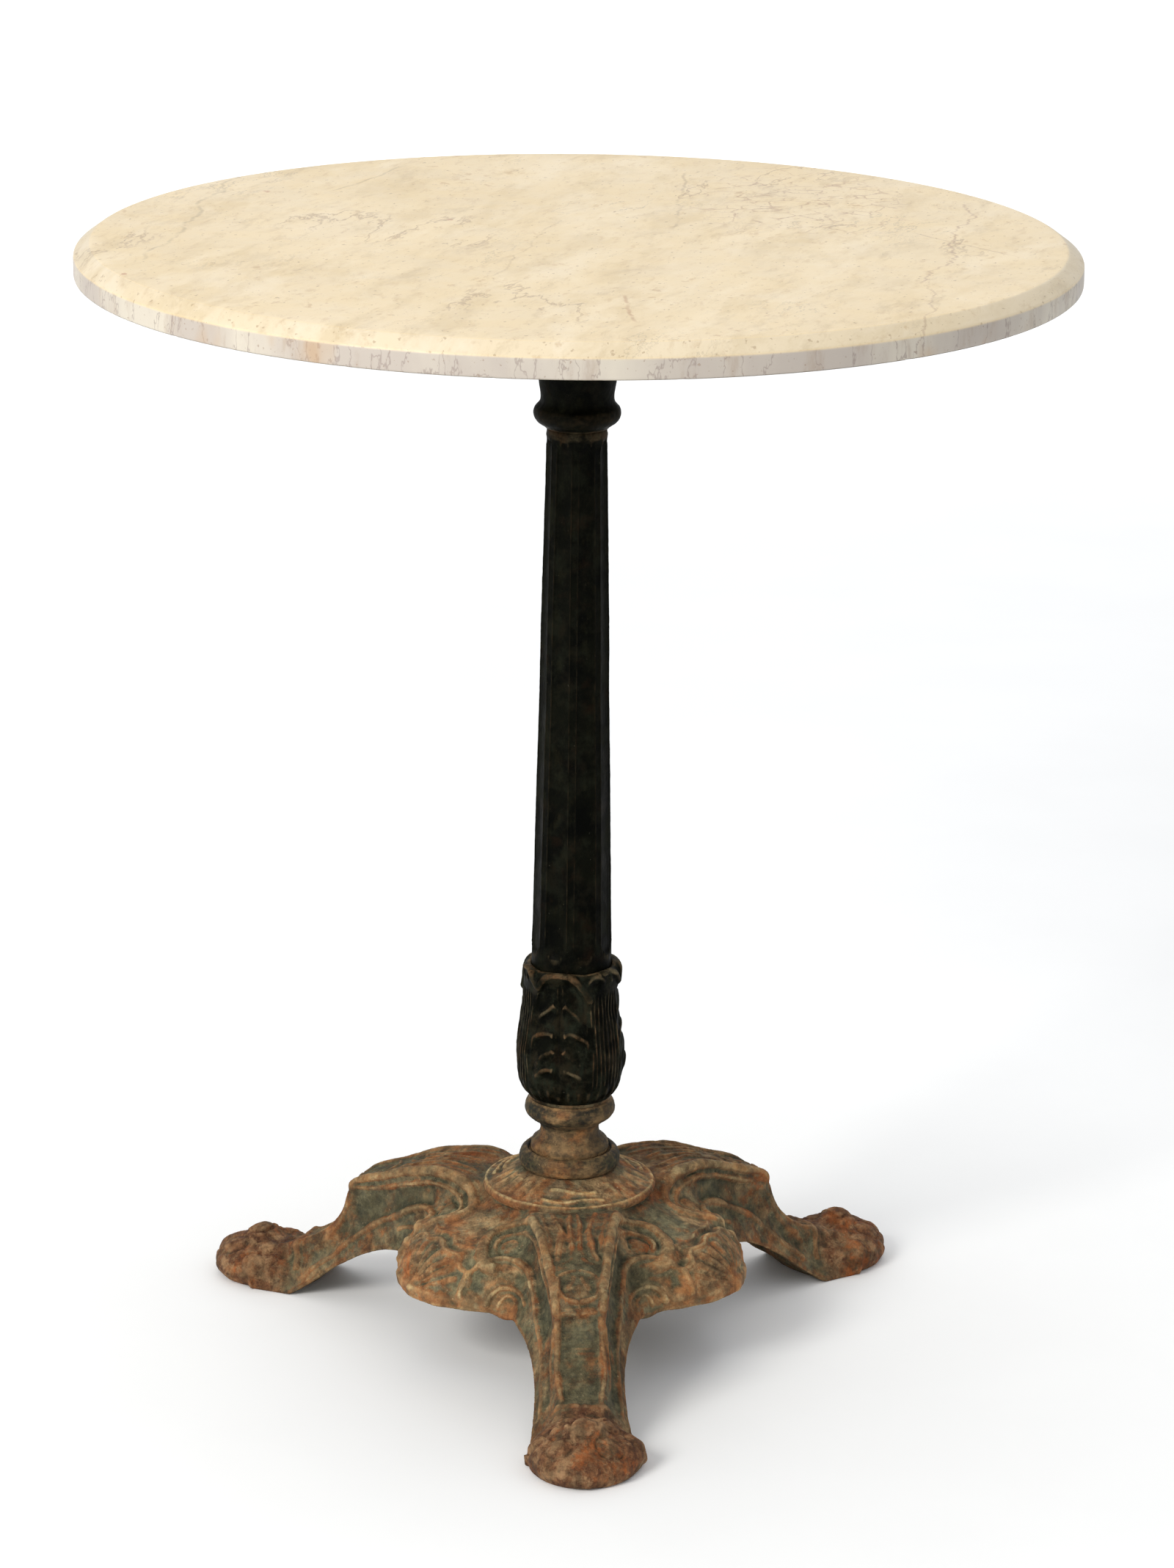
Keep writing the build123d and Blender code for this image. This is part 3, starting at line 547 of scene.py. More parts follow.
def brass_material():
    t = Tree("brass")
    n1 = t.noise(140, 5, 0.6)
    c = t.mix(t.ramp(n1, 0.38, 0.62), (0.60, 0.42, 0.15), (0.42, 0.28, 0.11))
    return t.done(c, t.ramp(n1, 0.3, 0.7, 0.28, 0.5), t.bump(t.noise(600, 3, 0.6), 0.3, 0.0002), metal=0.95)


def cork_material():
    t = Tree("cork")
    v = t.voronoi(620)
    n = t.noise(300, 4, 0.6)
    c = t.mix(t.ramp(n, 0.36, 0.64), (0.48, 0.30, 0.15), (0.62, 0.43, 0.24))
    c = t.mix(t.ramp(v, 0.0, 0.35, 0.75, 0), c, (0.16, 0.085, 0.040))
    return t.done(c, t.ramp(n, 0.3, 0.7, 0.82, 0.95), t.bump(t.math("ADD", v, n), 0.6, 0.0005))


MARBLE = marble_material()
BLACK = black_iron_material()
RUST = rust_material("iron_rust")
KNOP = knop_material("iron_rust_knop", 0.0)
RING = knop_material("iron_rust_ring", 5.0)
PLAIN = plain_iron_material()
STEEL = steel_material()
BRASS = brass_material()
CORK = cork_material()
for group, mat in (
    (("top_spider",), PLAIN),
    (("spider_screws", "screw_washers", "tie_rod", "top_nut", "top_washer", "bottom_plate_washer", "bottom_lock_washer", "bottom_nut"), STEEL),
    (("marble_anchors",), BRASS),
    (("cork_pads",), CORK),
):
    for n in group:
        me = nodes[n].data
        me.materials.clear()
        me.materials.append(mat)

# =====================================================================
#  Marble top: one closed slab with softly worn arrises
# =====================================================================
def arc_profile(pts):
    """Profile rows from (r, z, corner radius): rounded corners, ends kept."""
    out = [pts[0][:2]]
    for (x0, z0, _), (x1, z1, rad), (x2, z2, _) in zip(pts[:-2], pts[1:-1], pts[2:]):
        if rad <= 0:
            out.append((x1, z1))
            continue
        a, b, p = np.array((x0 - x1, z0 - z1)), np.array((x2 - x1, z2 - z1)), np.array((x1, z1))
        a, b = a / np.linalg.norm(a), b / np.linalg.norm(b)
        for k in range(5):
            s = k / 4
            out.append(tuple(p + a * rad * (1 - s) ** 2 + b * rad * s ** 2))
    out.append(pts[-1][:2])
    return out


TOP_R, SLAB0, SLAB1 = 305.0, 692.0, 712.0
slab_rows = arc_profile([(2.0, SLAB1, 0), (295.2, SLAB1, 1.6), (304.9, SLAB1 - 7.1, 1.5), (304.9, SLAB0 + 0.8, 1.0), (303.9, SLAB0, 0.9), (2.0, SLAB0, 0)])
rows = [slab_rows[0]] + [(r, SLAB1) for r in (60.0, 130.0, 200.0, 255.0, 285.0)] + slab_rows[1:-1] + [(r, SLAB0) for r in (285.0, 200.0, 90.0)] + [slab_rows[-1]]
rows = np.array(rows)
NT = 900
th = np.arange(NT) * 2 * np.pi / NT
R, TH = np.meshgrid(rows[:, 0], th, indexing="ij")
Z = np.repeat(rows[:, 1:2], NT, 1)
P = np.stack([R * np.cos(TH), R * np.sin(TH), Z], -1).reshape(-1, 3)
# wear and small chips on the three arrises
rr, zz = R.ravel(), Z.ravel()
for r0, z0, reach, big in ((295.2, SLAB1, 1.6, 0.20), (304.9, SLAB1 - 7.1, 1.8, 0.35), (304.2, SLAB0 + 0.3, 1.8, 0.50)):
    near = np.clip(1 - np.hypot(rr - r0, zz - z0) / reach, 0, 1)
    ring = np.stack([r0 * np.cos(TH.ravel()), r0 * np.sin(TH.ravel()), np.full(rr.size, z0)], 1)
    chip = np.clip(fbm(ring, 0.22, 11 + int(z0), 3) - 0.30, 0, 1) * 2.4
    cut = near * (big * chip + 0.06 * np.abs(vnoise(ring, 0.5, 17)))
    P[:, 0] -= cut * np.cos(TH.ravel())
    P[:, 1] -= cut * np.sin(TH.ravel())
    P[:, 2] += np.where(z0 > 700, -cut * 0.6, cut * 0.6)
F = ring_faces(len(rows), NT, closed=False)[:, ::-1]
last = len(P)
P = np.vstack([P, [[0, 0, SLAB1], [0, 0, SLAB0]]])
j = np.arange(NT)
fans = [(int(a), int((a + 1) % NT), last) for a in j] + [(int((len(rows) - 1) * NT + (a + 1) % NT), int((len(rows) - 1) * NT + a), last + 1) for a in j]
piece("marble_slab", P, F.tolist() + fans, MARBLE, ("marble_top",))


# =====================================================================
#  Turned pieces: collar, column, cup, knop and ring
# =====================================================================
def turned(name, outer, inner, cols, mat, replaces, relief=None, step=1.0, grain=0.10, seed=40, wear=1.0, worn=0.25):
    """Closed ring-shaped lathe mesh. outer and inner are (r, z) lines from bottom to top; relief(theta, r, z) is added to the outer radius."""
    line = np.array(outer, float)
    seg = np.r_[0, np.cumsum(np.hypot(*np.diff(line, axis=0).T))]
    n = max(8, int(seg[-1] / step))
    u = np.unique(np.r_[np.linspace(0, seg[-1], n), seg[[0, -1]]])
    o = np.stack([np.interp(u, seg, line[:, 0]), np.interp(u, seg, line[:, 1])], 1)
    # soften the polyline's corners a little, ends kept
    for _ in range(2):
        o[1:-1] = 0.25 * o[:-2] + 0.5 * o[1:-1] + 0.25 * o[2:]
    i = np.array(inner, float)[::-1]
    prof = np.vstack([o, i])
    th = np.arange(cols) * 2 * np.pi / cols
    R, TH = np.meshgrid(prof[:, 0], th, indexing="ij")
    Z = np.repeat(prof[:, 1:2], cols, 1)
    is_out = np.zeros(R.shape, bool)
    is_out[: len(o)] = True
    fade = np.zeros(R.shape)
    k = np.minimum(u, seg[-1] - u)
    fade[: len(o)] = np.clip(k / 1.5, 0, 1)[:, None]
    base = np.stack([R * np.cos(TH), R * np.sin(TH), Z], -1).reshape(-1, 3)
    d = np.zeros(R.size)
    if relief is not None:
        d += relief(TH.ravel(), R.ravel(), Z.ravel())
    d += grain * (0.7 * fbm(base, 0.13, seed, 3) + 0.3 * vnoise(base, 0.9, seed + 5))
    d *= fade.ravel()
    # move along the profile's outward normal
    t = np.gradient(prof, axis=0)
    t[: len(o)] = np.gradient(o, axis=0)
    t /= np.linalg.norm(t, axis=1, keepdims=True) + 1e-9
    nr, nz = np.repeat(t[:, 1:2], cols, 1).ravel(), np.repeat(-t[:, 0:1], cols, 1).ravel()
    V = base.copy()
    V[:, 0] += d * nr * np.cos(TH.ravel())
    V[:, 1] += d * nr * np.sin(TH.ravel())
    V[:, 2] += d * nz
    F = ring_faces(len(prof), cols, closed=True)
    ridge = np.clip(bulge(V, F, 4) * wear, -1, 1)
    ridge = smooth_attr(F, len(V), ridge, 1)
    # painted shade: the bore is given the dark of a hollow
    ridge[~is_out.ravel()] = -0.3
    return piece(name, V, F, mat, replaces, {"ridge": ridge, "wear": np.full(len(V), worn)})


def wrap(a):
    return (a + 180.0) % 360.0 - 180.0


RIDGE0 = -96.0          # azimuth of one ridge between the column's flutes


def flutes(theta, r, z):
    deg = np.degrees(theta)
    q = (deg - RIDGE0 + 22.5) % 45.0 - 22.5            # from the nearest ridge
    arc = np.radians(np.abs(q)) * r                      # mm along the surface
    half = np.radians(22.5) * r
    flat = 2.3
    mid = (half + flat) / 2 + flat / 2
    width = half - flat
    centre = half                                        # flute centre lies half a pitch from the ridge
    zl, zh = 260.0, 588.0
    end = np.minimum(z - zl, zh - z)
    w = width * np.sqrt(np.clip(1 - np.clip(1 - end / width, 0, 1) ** 2, 0, 1))
    t = np.clip((centre - arc) / np.maximum(w, 1e-3), 0, 1.6)
    inside = end > 0
    hollow = np.where(inside, 1.55 * np.clip(1 - t ** 2, 0, 1) ** 0.85, 0)
    # thin raised edge either side of the flat ridge
    lip = np.where(inside, 0.38 * np.exp(-((centre - arc - w) / 0.55) ** 2), 0)
    # faint second line inside the flute
    line = np.where(inside, 0.16 * np.exp(-((centre - arc - w * 0.62) / 0.5) ** 2), 0)
    # worn ring at the head of the shaft
    ring = 0.5 * np.exp(-((z - 591.5) / 1.6) ** 2)
    return -hollow + lip + line + ring


shaft = [(25.2, 168.0), (25.2, 256.0), (24.4, 280.0), (23.6, 329.0), (22.6, 377.0), (21.4, 424.0), (20.9, 471.0), (19.9, 518.0), (18.9, 564.0), (18.5, 588.0), (18.5, 595.9)]
turned("column_shaft", shaft, [(12.4, 168.0), (12.4, 595.9)], 256, BLACK, ("fluted_column",), flutes, step=2.1, grain=0.28, seed=60, wear=1.6)

collar = [(19.4, 596.0), (21.1, 597.6), (24.2, 599.4), (25.8, 601.3), (26.8, 603.3), (27.0, 605.0), (26.8, 606.7), (26.2, 608.6), (24.2, 610.4), (22.8, 612.2), (22.5, 615.5), (23.0, 619.6), (23.8, 624.0), (25.2, 634.0), (27.2, 648.0), (29.3, 659.0), (30.0, 661.0), (30.0, 664.0)]
turned("capital_ring", collar, [(12.3, 596.0), (9.0, 586.2), (9.0, 664.0)][::1], 160, BLACK, ("capital_collar",), None, step=0.9, grain=0.30, seed=70, wear=2.0)

knop = [(24.4, 126.0), (24.8, 128.4), (24.7, 130.6), (24.0, 132.4), (22.4, 133.9), (20.2, 135.4), (19.0, 137.4), (18.4, 139.8), (18.6, 142.4), (19.4, 144.4), (21.6, 146.2), (24.6, 148.2), (27.2, 150.2), (28.4, 152.0), (28.7, 153.8), (28.4, 156.0), (27.6, 158.6), (26.3, 160.6), (24.8, 161.7)]
turned("knop", knop, [(8.0, 126.0), (8.0, 161.7)], 176, KNOP, ("neck_knop",), None, step=0.7, grain=0.42, seed=80, wear=1.6)

torus = [(28.2, 115.0), (30.4, 115.9), (31.7, 117.6), (32.1, 120.2), (31.8, 122.8), (30.8, 125.4), (29.0, 127.4), (27.2, 127.9), (25.8, 127.0), (25.6, 126.0)]
turned("base_ring", torus, [(8.0, 115.0), (8.0, 126.0)], 192, RING, ("base_torus",), None, step=0.7, grain=0.46, seed=90, wear=1.6)

# ---- cup of three leaves ----------------------------------------------------
LEAF0 = -107.5
cup_lines = [  # (points (degrees from the leaf centre, z), half width mm, height mm, mirrored)
    ([(-62, 251.0), (-52, 251.2), (-42, 248.5), (-34, 243.5), (-27.5, 241.3), (-23.9, 245.0), (-19.6, 248.2), (-11.7, 250.6), (0, 251.4), (11.7, 250.6), (19, 247.9), (25, 244.1), (31, 239.5), (36.5, 234.5)], 2.1, 1.9, False),
    ([(-4.8, 231.4), (-10.5, 229.0), (-23.1, 222.6), (-29, 215)], 1.7, 0.9, True),
    ([(-4.5, 211.6), (-13.2, 212.4), (-22.3, 211.2), (-30.7, 207.4), (-36.1, 199.5)], 1.9, 1.25, True),
    ([(-4.3, 202.6), (-13.7, 198.8), (-22.5, 192.8), (-27, 187)], 1.8, 1.15, True),
    ([(-5.0, 188.8), (-11, 189.0), (-17, 187.2), (-24.5, 182.8), (-29, 176.5)], 1.8, 1.1, True),
    ([(-36, 230), (-40, 219), (-42, 206), (-40, 192), (-34, 179)], 1.2, 0.7, True),
    ([(52, 250.6), (59.6, 251.2), (66.5, 249.8), (70, 245)], 1.4, 0.9, False),
]


def leaf_cup(theta, r, z):
    deg = np.degrees(theta)
    q = (deg - LEAF0 + 60.0) % 120.0 - 60.0
    h = np.zeros(len(theta))
    at = np.stack([np.cos(theta) * 33.0, np.sin(theta) * 33.0, z], 1)
    sx = np.radians(q) * 31.0 + 0.8 * vnoise(at, 0.13, 141)
    z_true, z = z, z + 0.8 * vnoise(at, 0.13, 142) * smooth01((242 - z) / 12)
    for pts, hw, ht, mirror in cup_lines:
        curve = crom(pts, 8)
        for side in ((1, -1) if mirror else (1,)):
            for shift in (-120.0, 0.0, 120.0):
                cx, cz = np.radians(curve[:, 0] * side + shift) * 31.0, curve[:, 1]
                box = (sx > cx.min() - hw * 5) & (sx < cx.max() + hw * 5) & (z > cz.min() - hw * 5) & (z < cz.max() + hw * 5)
                if not box.any():
                    continue
                px, pz = sx[box], z[box]
                best, along = np.full(len(px), 1e9), np.zeros(len(px))
                for k in range(len(curve) - 1):
                    ex, ez = cx[k + 1] - cx[k], cz[k + 1] - cz[k]
                    t = np.clip(((px - cx[k]) * ex + (pz - cz[k]) * ez) / (ex * ex + ez * ez + 1e-9), 0, 1)
                    far = np.hypot(px - cx[k] - t * ex, pz - cz[k] - t * ez)
                    along = np.where(far < best, (k + t) / (len(curve) - 1), along)
                    best = np.minimum(best, far)
                bead = 0.75 * ht * np.clip(1 - (best / hw / 1.25) ** 2, 0, 1) ** 0.8 + 0.55 * ht * np.exp(-(best / (hw * 2.1)) ** 2)
                if mirror:
                    bead = bead * (0.2 + 0.8 * smooth01(along / 0.10)) * (0.1 + 0.9 * smooth01((1 - along) / 0.35))
                sub = h[box]
                h[box] = np.maximum(sub, bead)
    # inside the arch the leaf is hollowed, deepest just under the rolled rim
    rim = np.interp(np.abs(q), [0, 12, 20, 27, 34], [248.2, 247.4, 245.0, 239.0, 232.5])
    leaf = smooth01((34 - np.abs(q)) / 5)
    under = np.clip((rim - z) / 3.0, 0, 1) * leaf
    fall = np.clip((rim - z) / 60.0, 0, 1)
    h -= under * (1.5 - 1.1 * fall)
    # dark midrib groove, narrow at the tip
    h -= 1.1 * np.exp(-(np.abs(q) * 31 * np.pi / 180 / (1.0 + 0.6 * fall)) ** 2) * smooth01((246 - z) / 4) * smooth01((z - 168) / 6)
    # lobes between the ridges swell softly
    wave = np.sin((z + np.abs(q) * 0.45 - 194) / 13.0 * 2 * np.pi)
    h += 0.40 * wave * leaf * smooth01((rim - z) / 6) * smooth01((z - 176) / 12) * smooth01((np.abs(q) - 3) / 5)
    # upright stems between the leaves
    a = np.abs(q)
    stem = smooth01((a - 35) / 5)
    h += stem * 0.34 * np.cos(np.radians(a - 60) * 31.0 / 3.0 * 2 * np.pi + 1.6 * vnoise(at, 0.07, 161)) * smooth01((238 - z) / 4) * smooth01((z - 172) / 8)
    # curled bud at the head of the stems
    bx, bz = np.radians(wrap(q - 46.0)) * 31.0, z - 243.3
    bd = np.hypot(bx, bz)
    h -= 1.0 * np.clip(1 - (bd / 4.0) ** 2, 0, 1)
    h += 1.1 * np.exp(-((bd - 6.0) / 1.7) ** 2) * smooth01((bz + 2) / 6)
    # puckered foot of the leaves
    h += 0.5 * np.cos(np.radians(q) * 31 / 6.5 * 2 * np.pi) * smooth01((178 - z) / 6) * smooth01((z - 164) / 3)
    h += 0.35 * fbm(at, 0.10, 151, 3)
    return h - 0.8


def cup_top(deg):
    """Height of the cup's rim round the leaf."""
    return np.interp(np.abs(deg), [0, 12, 22, 30, 38, 48, 60], [251.6, 251.5, 251.2, 250.7, 250.7, 251.0, 251.2])


cup_line = np.array([(26.1, 161.7), (27.0, 163.7), (28.6, 165.7), (30.0, 167.6), (31.4, 169.6), (32.3, 171.6), (33.0, 173.6), (33.8, 177.5), (34.4, 183.0), (34.6, 188.0), (34.4, 197.0), (33.2, 205.0), (32.5, 211.0), (31.3, 222.8), (30.6, 233.0), (30.4, 240.0), (30.5, 246.0), (30.6, 251.0), (30.4, 254.5), (29.2, 257.0), (27.0, 257.6), (25.6, 257.4)])
CC = 360
seg = np.r_[0, np.cumsum(np.hypot(*np.diff(cup_line, axis=0).T))]
u = np.linspace(0, seg[-1], 122)
co = np.stack([np.interp(u, seg, cup_line[:, 0]), np.interp(u, seg, cup_line[:, 1])], 1)
for _ in range(2):
    co[1:-1] = 0.25 * co[:-2] + 0.5 * co[1:-1] + 0.25 * co[2:]
th = np.arange(CC) * 2 * np.pi / CC
dq = (np.degrees(th) - LEAF0 + 60.0) % 120.0 - 60.0
prof = np.vstack([co, [(25.4, 250.0), (25.4, 168.0), (8.0, 168.0), (8.0, 161.7)]])
R, TH = np.meshgrid(prof[:, 0], th, indexing="ij")
Z = np.repeat(prof[:, 1:2], CC, 1)
# the rim's height follows the leaves: rows above 236 are stretched
top = cup_top(dq)[None, :]
lift = smooth01((Z - 232.0) / 26.0)
Zr = Z + lift * (top - 257.6)
Zr[len(co):] = Z[len(co):]
V0 = np.stack([R * np.cos(TH), R * np.sin(TH), Zr], -1).reshape(-1, 3)
d = leaf_cup(TH.ravel(), R.ravel(), Zr.ravel()) + 0.22 * fbm(V0, 0.16, 101, 3)
t = np.gradient(prof, axis=0)
t[: len(co)] = np.gradient(co, axis=0)
t /= np.linalg.norm(t, axis=1, keepdims=True) + 1e-9
fade = np.zeros(R.shape)
fade[: len(co)] = (np.clip(u / 2.0, 0, 1) * np.clip((seg[-1] - u) / 4.0, 0, 1))[:, None]
d *= fade.ravel()
V = V0.copy()
nr, nz = np.repeat(t[:, 1:2], CC, 1).ravel(), np.repeat(-t[:, 0:1], CC, 1).ravel()
V[:, 0] += d * nr * np.cos(TH.ravel())
V[:, 1] += d * nr * np.sin(TH.ravel())
V[:, 2] += d * nz * 0.5
F = ring_faces(len(prof), CC, closed=True)
ridge = np.clip(bulge(V, F, 5) * 1.7, -1, 1)
# painted shade: the bore and the underside are given the dark of a hollow
ridge[len(co) * CC:] = -0.4
piece("leaf_cup", V, F, BLACK, ("acanthus_cup",), {"ridge": ridge, "wear": np.full(len(V), 0.75)})

# =====================================================================
#  Tripod base: a distance field of the casting, meshed, then given its relief
# =====================================================================
def seg_dist(px, pz, poly):
    best, bu, s0 = np.full(px.shape, 1e9), np.zeros(px.shape), 0.0
    for (x0, z0), (x1, z1) in zip(poly[:-1], poly[1:]):
        dx, dz = x1 - x0, z1 - z0
        L2 = dx * dx + dz * dz
        if L2 < 1e-9:
            continue
        t = np.clip(((px - x0) * dx + (pz - z0) * dz) / L2, 0, 1)
        d2 = (px - x0 - t * dx) ** 2 + (pz - z0 - t * dz) ** 2
        m = d2 < best
        best[m] = d2[m]
        L = math.sqrt(L2)
        bu[m] = (s0 + t * L)[m]
        s0 += L
    return np.sqrt(best), bu


def inside(px, pz, poly):
    c = np.zeros(px.shape, bool)
    n = len(poly)
    for i in range(n):
        x0, z0 = poly[i]
        x1, z1 = poly[(i + 1) % n]
        if z0 == z1:
            continue
        c ^= ((z0 > pz) != (z1 > pz)) & (px < (x1 - x0) * (pz - z0) / (z1 - z0) + x0)
    return c


class Grid2:
    def __init__(s, x0, x1, z0, z1, h):
        s.x0, s.z0, s.h = x0, z0, h
        s.nx, s.nz = int((x1 - x0) / h) + 1, int((z1 - z0) / h) + 1
        s.X, s.Z = np.meshgrid(x0 + h * np.arange(s.nx), z0 + h * np.arange(s.nz), indexing="ij")

    def at(s, g, x, z):
        fx = np.clip((x - s.x0) / s.h, 0, s.nx - 1.001)
        fz = np.clip((z - s.z0) / s.h, 0, s.nz - 1.001)
        i, k = fx.astype(np.int32), fz.astype(np.int32)
        a, b = fx - i, fz - k
        return (g[i, k] * (1 - a) + g[i + 1, k] * a) * (1 - b) + (g[i, k + 1] * (1 - a) + g[i + 1, k + 1] * a) * b


def sdf_poly(G, poly):
    d, _ = seg_dist(G.X, G.Z, list(map(tuple, poly)) + [tuple(poly[0])])
    return np.where(inside(G.X, G.Z, poly), -d, d)


def smin(a, b, k):
    h = np.clip(0.5 + 0.5 * (b - a) / k, 0, 1)
    return b * (1 - h) + a * h - k * h * (1 - h)


def smax(a, b, k):
    return -smin(-a, -b, k)


# leg in folded coordinates: x along the nearest leg, s across it, z up (mm)
LEG_TOP = [(0, 97), (40, 100.5), (52, 103), (62, 104.5), (74, 105), (87, 103.2), (101, 99.8), (114, 95), (127, 90), (138, 86), (145.5, 83), (149.8, 80), (152.2, 75.5), (153.8, 69), (156, 61.5), (160, 54), (166, 47), (172, 41.8), (180, 36), (188, 32.2), (196, 29.4), (204, 27), (214, 22)]
LEG_BOT = [(214, -2), (200, -2), (191, -1), (186, 1.5), (179, 6), (170, 12.5), (157, 23), (146, 30.5), (135, 37), (122, 43.5), (110, 47.5), (98, 49.5), (84, 50), (0, 50)]
BAND_HALF = np.array([(0, 29), (40, 28.5), (60, 27), (77, 24.6), (90, 22.4), (103, 20.4), (118, 18.2), (131, 16.6), (145, 15.4), (150, 15.2), (157, 15.4), (166, 15.8), (176, 15.4), (186, 14.6), (196, 14), (206, 14)], float)
FOOT_HALF = np.array([(0, 52), (60, 49), (77, 46), (92, 43), (104, 39.5), (112, 36.8), (120, 34), (128, 31.8), (135, 30.4), (143, 29.4), (151, 28.9), (160, 29.2), (170, 30.2), (178, 31.6), (186, 33.2), (196, 35), (206, 36)], float)
LOBE = np.array([(0, 119.5), (5, 119), (10, 116.5), (17, 111.5), (24, 106.5), (31, 102.5), (38, 99), (48, 94), (60, 90)], float)
DOME = [(0, 99), (50, 98), (62, 93.5), (74, 89), (86, 85.8), (98, 82.5), (108, 78), (116, 70.5), (121, 61), (124, 50), (126, 40)]
MEDALLION = [(0, 88), (48, 88), (49.6, 92), (51, 98.4), (53.8, 100.4), (54.8, 102), (54.8, 103.8), (53.4, 105.4), (51, 105.5), (48, 106.6), (43, 109), (37, 111.8), (32, 114.2), (30, 115), (0, 115)]

GL = Grid2(-6, 270, -24, 128, 0.6)
top_c, bot_c = crom(LEG_TOP, 5), crom(LEG_BOT, 5)
leg_poly = np.vstack([top_c, bot_c])
g_leg = sdf_poly(GL, leg_poly)
leg_open = np.vstack([top_c, [(214, -60), (0, -60)]])
g_open = sdf_poly(GL, leg_open)
dT, uT = seg_dist(GL.X, GL.Z, top_c)
dB, uB = seg_dist(GL.X, GL.Z, bot_c)
cT = np.r_[0, np.cumsum(np.hypot(*np.diff(top_c, axis=0).T))]
cB = np.r_[0, np.cumsum(np.hypot(*np.diff(bot_c, axis=0).T))]
g_t = dT / (dT + dB + 1e-6)
g_t = np.where(inside(GL.X, GL.Z, leg_poly), g_t, np.where(dT < dB, 0.0, 1.0))
g_wT = np.interp(np.interp(uT, cT, top_c[:, 0]), BAND_HALF[:, 0], BAND_HALF[:, 1])
g_wB = np.interp(np.interp(uB, cB, bot_c[:, 0]), FOOT_HALF[:, 0], FOOT_HALF[:, 1])
g_w = g_wT + (g_wB - g_wT) * (0.35 * g_t + 0.65 * g_t * g_t) ** 0.9
for _ in range(3):
    g_w[1:-1, 1:-1] = (g_w[1:-1, 1:-1] * 2 + g_w[:-2, 1:-1] + g_w[2:, 1:-1] + g_w[1:-1, :-2] + g_w[1:-1, 2:]) / 6
GD = Grid2(-6, 170, -24, 128, 0.6)
g_dome = sdf_poly(GD, np.vstack([crom(DOME, 5), [(126, -60), (0, -60)]]))
g_med = sdf_poly(GD, np.array(MEDALLION, float))

WARP_T = np.radians([-150.0, -90.8, -28.8, 33.6, 91.5, 150.0, 210.0])
WARP_F = np.radians([-150.0, -90, -30, 30, 90, 150, 210])


def fold(P):
    """Model x, y, z to folded x, s (signed), z and the leg's number."""
    th = np.arctan2(P[:, 1], P[:, 0])
    r = np.hypot(P[:, 0], P[:, 1])
    th = np.where(th < WARP_T[0], th + 2 * np.pi, th)
    th = np.interp(th, WARP_T, WARP_F)
    a = (th + np.pi / 2 + np.pi / 3) % (2 * np.pi / 3) - np.pi / 3
    leg = np.round((th - a + np.pi / 2) / (2 * np.pi / 3)).astype(int) % 3
    x = r * np.cos(a)
    t = np.clip((x - 165) / 85, 0, 1)
    x = x + np.where(np.abs(th + np.pi / 2) < np.pi / 3, 7.5 * t * t * (3 - 2 * t), 0)
    return x, r * np.sin(a), P[:, 2], leg


def casting(x, s, z, want_outer=False):
    """Signed distance of the casting, mm, in folded coordinates."""
    s = np.abs(s)
    r = np.hypot(x, s)
    b = 60 - np.degrees(np.arctan2(s, np.maximum(x, 1e-6)))
    Ro = np.interp(np.clip(b, 0, 60), LOBE[:, 0], LOBE[:, 1])
    dome = GD.at(g_dome, r * 124 / Ro, z) * np.maximum(Ro / 124, 0.72)
    dl = (s - GL.at(g_w, x, z)) * 0.86
    leg = smax(GL.at(g_leg, x, z), dl, 2.5)
    lopen = smax(GL.at(g_open, x, z), dl, 2.5)
    med = GD.at(g_med, r, z)
    open_ = smin(dome, lopen, 12.0)
    out = smin(smax(dome, 50 - z, 2.0), leg, 12.0)
    shell = np.maximum(out, -np.maximum(open_ + 7.5, x - 176))
    boss = smax(r - 28, np.maximum(88 - z, z - 100), 1.0)
    base = smin(np.minimum(shell, boss), med, 1.2)
    ex, ey, ez = 37.5, 34.8, 17.5
    qx, qy, qz = (x - 219) / ex, s / ey, (z - 8.0) / ez
    k0 = np.sqrt(qx * qx + qy * qy + qz * qz) + 1e-9
    k1 = np.sqrt((qx / ex) ** 2 + (qy / ey) ** 2 + (qz / ez) ** 2) + 1e-9
    foot = np.maximum(k0 * (k0 - 1) / k1, -30)
    kn = (np.sqrt(((x - 223) / 12) ** 2 + (s / 14) ** 2 + ((z - 22.5) / 9.5) ** 2) - 1) * 9.5
    foot = smin(foot, kn, 4.0)
    if want_outer:
        return smin(smin(smin(dome, lopen, 12.0), med, 1.2), foot, 7.0)
    base = smin(base, foot, 7.0)
    base = smax(base, -z, 1.5)
    return np.maximum(base, 8.0 - r)


def field(P, **kw):
    x, s, z, _ = fold(P)
    return casting(x, s, z, **kw)


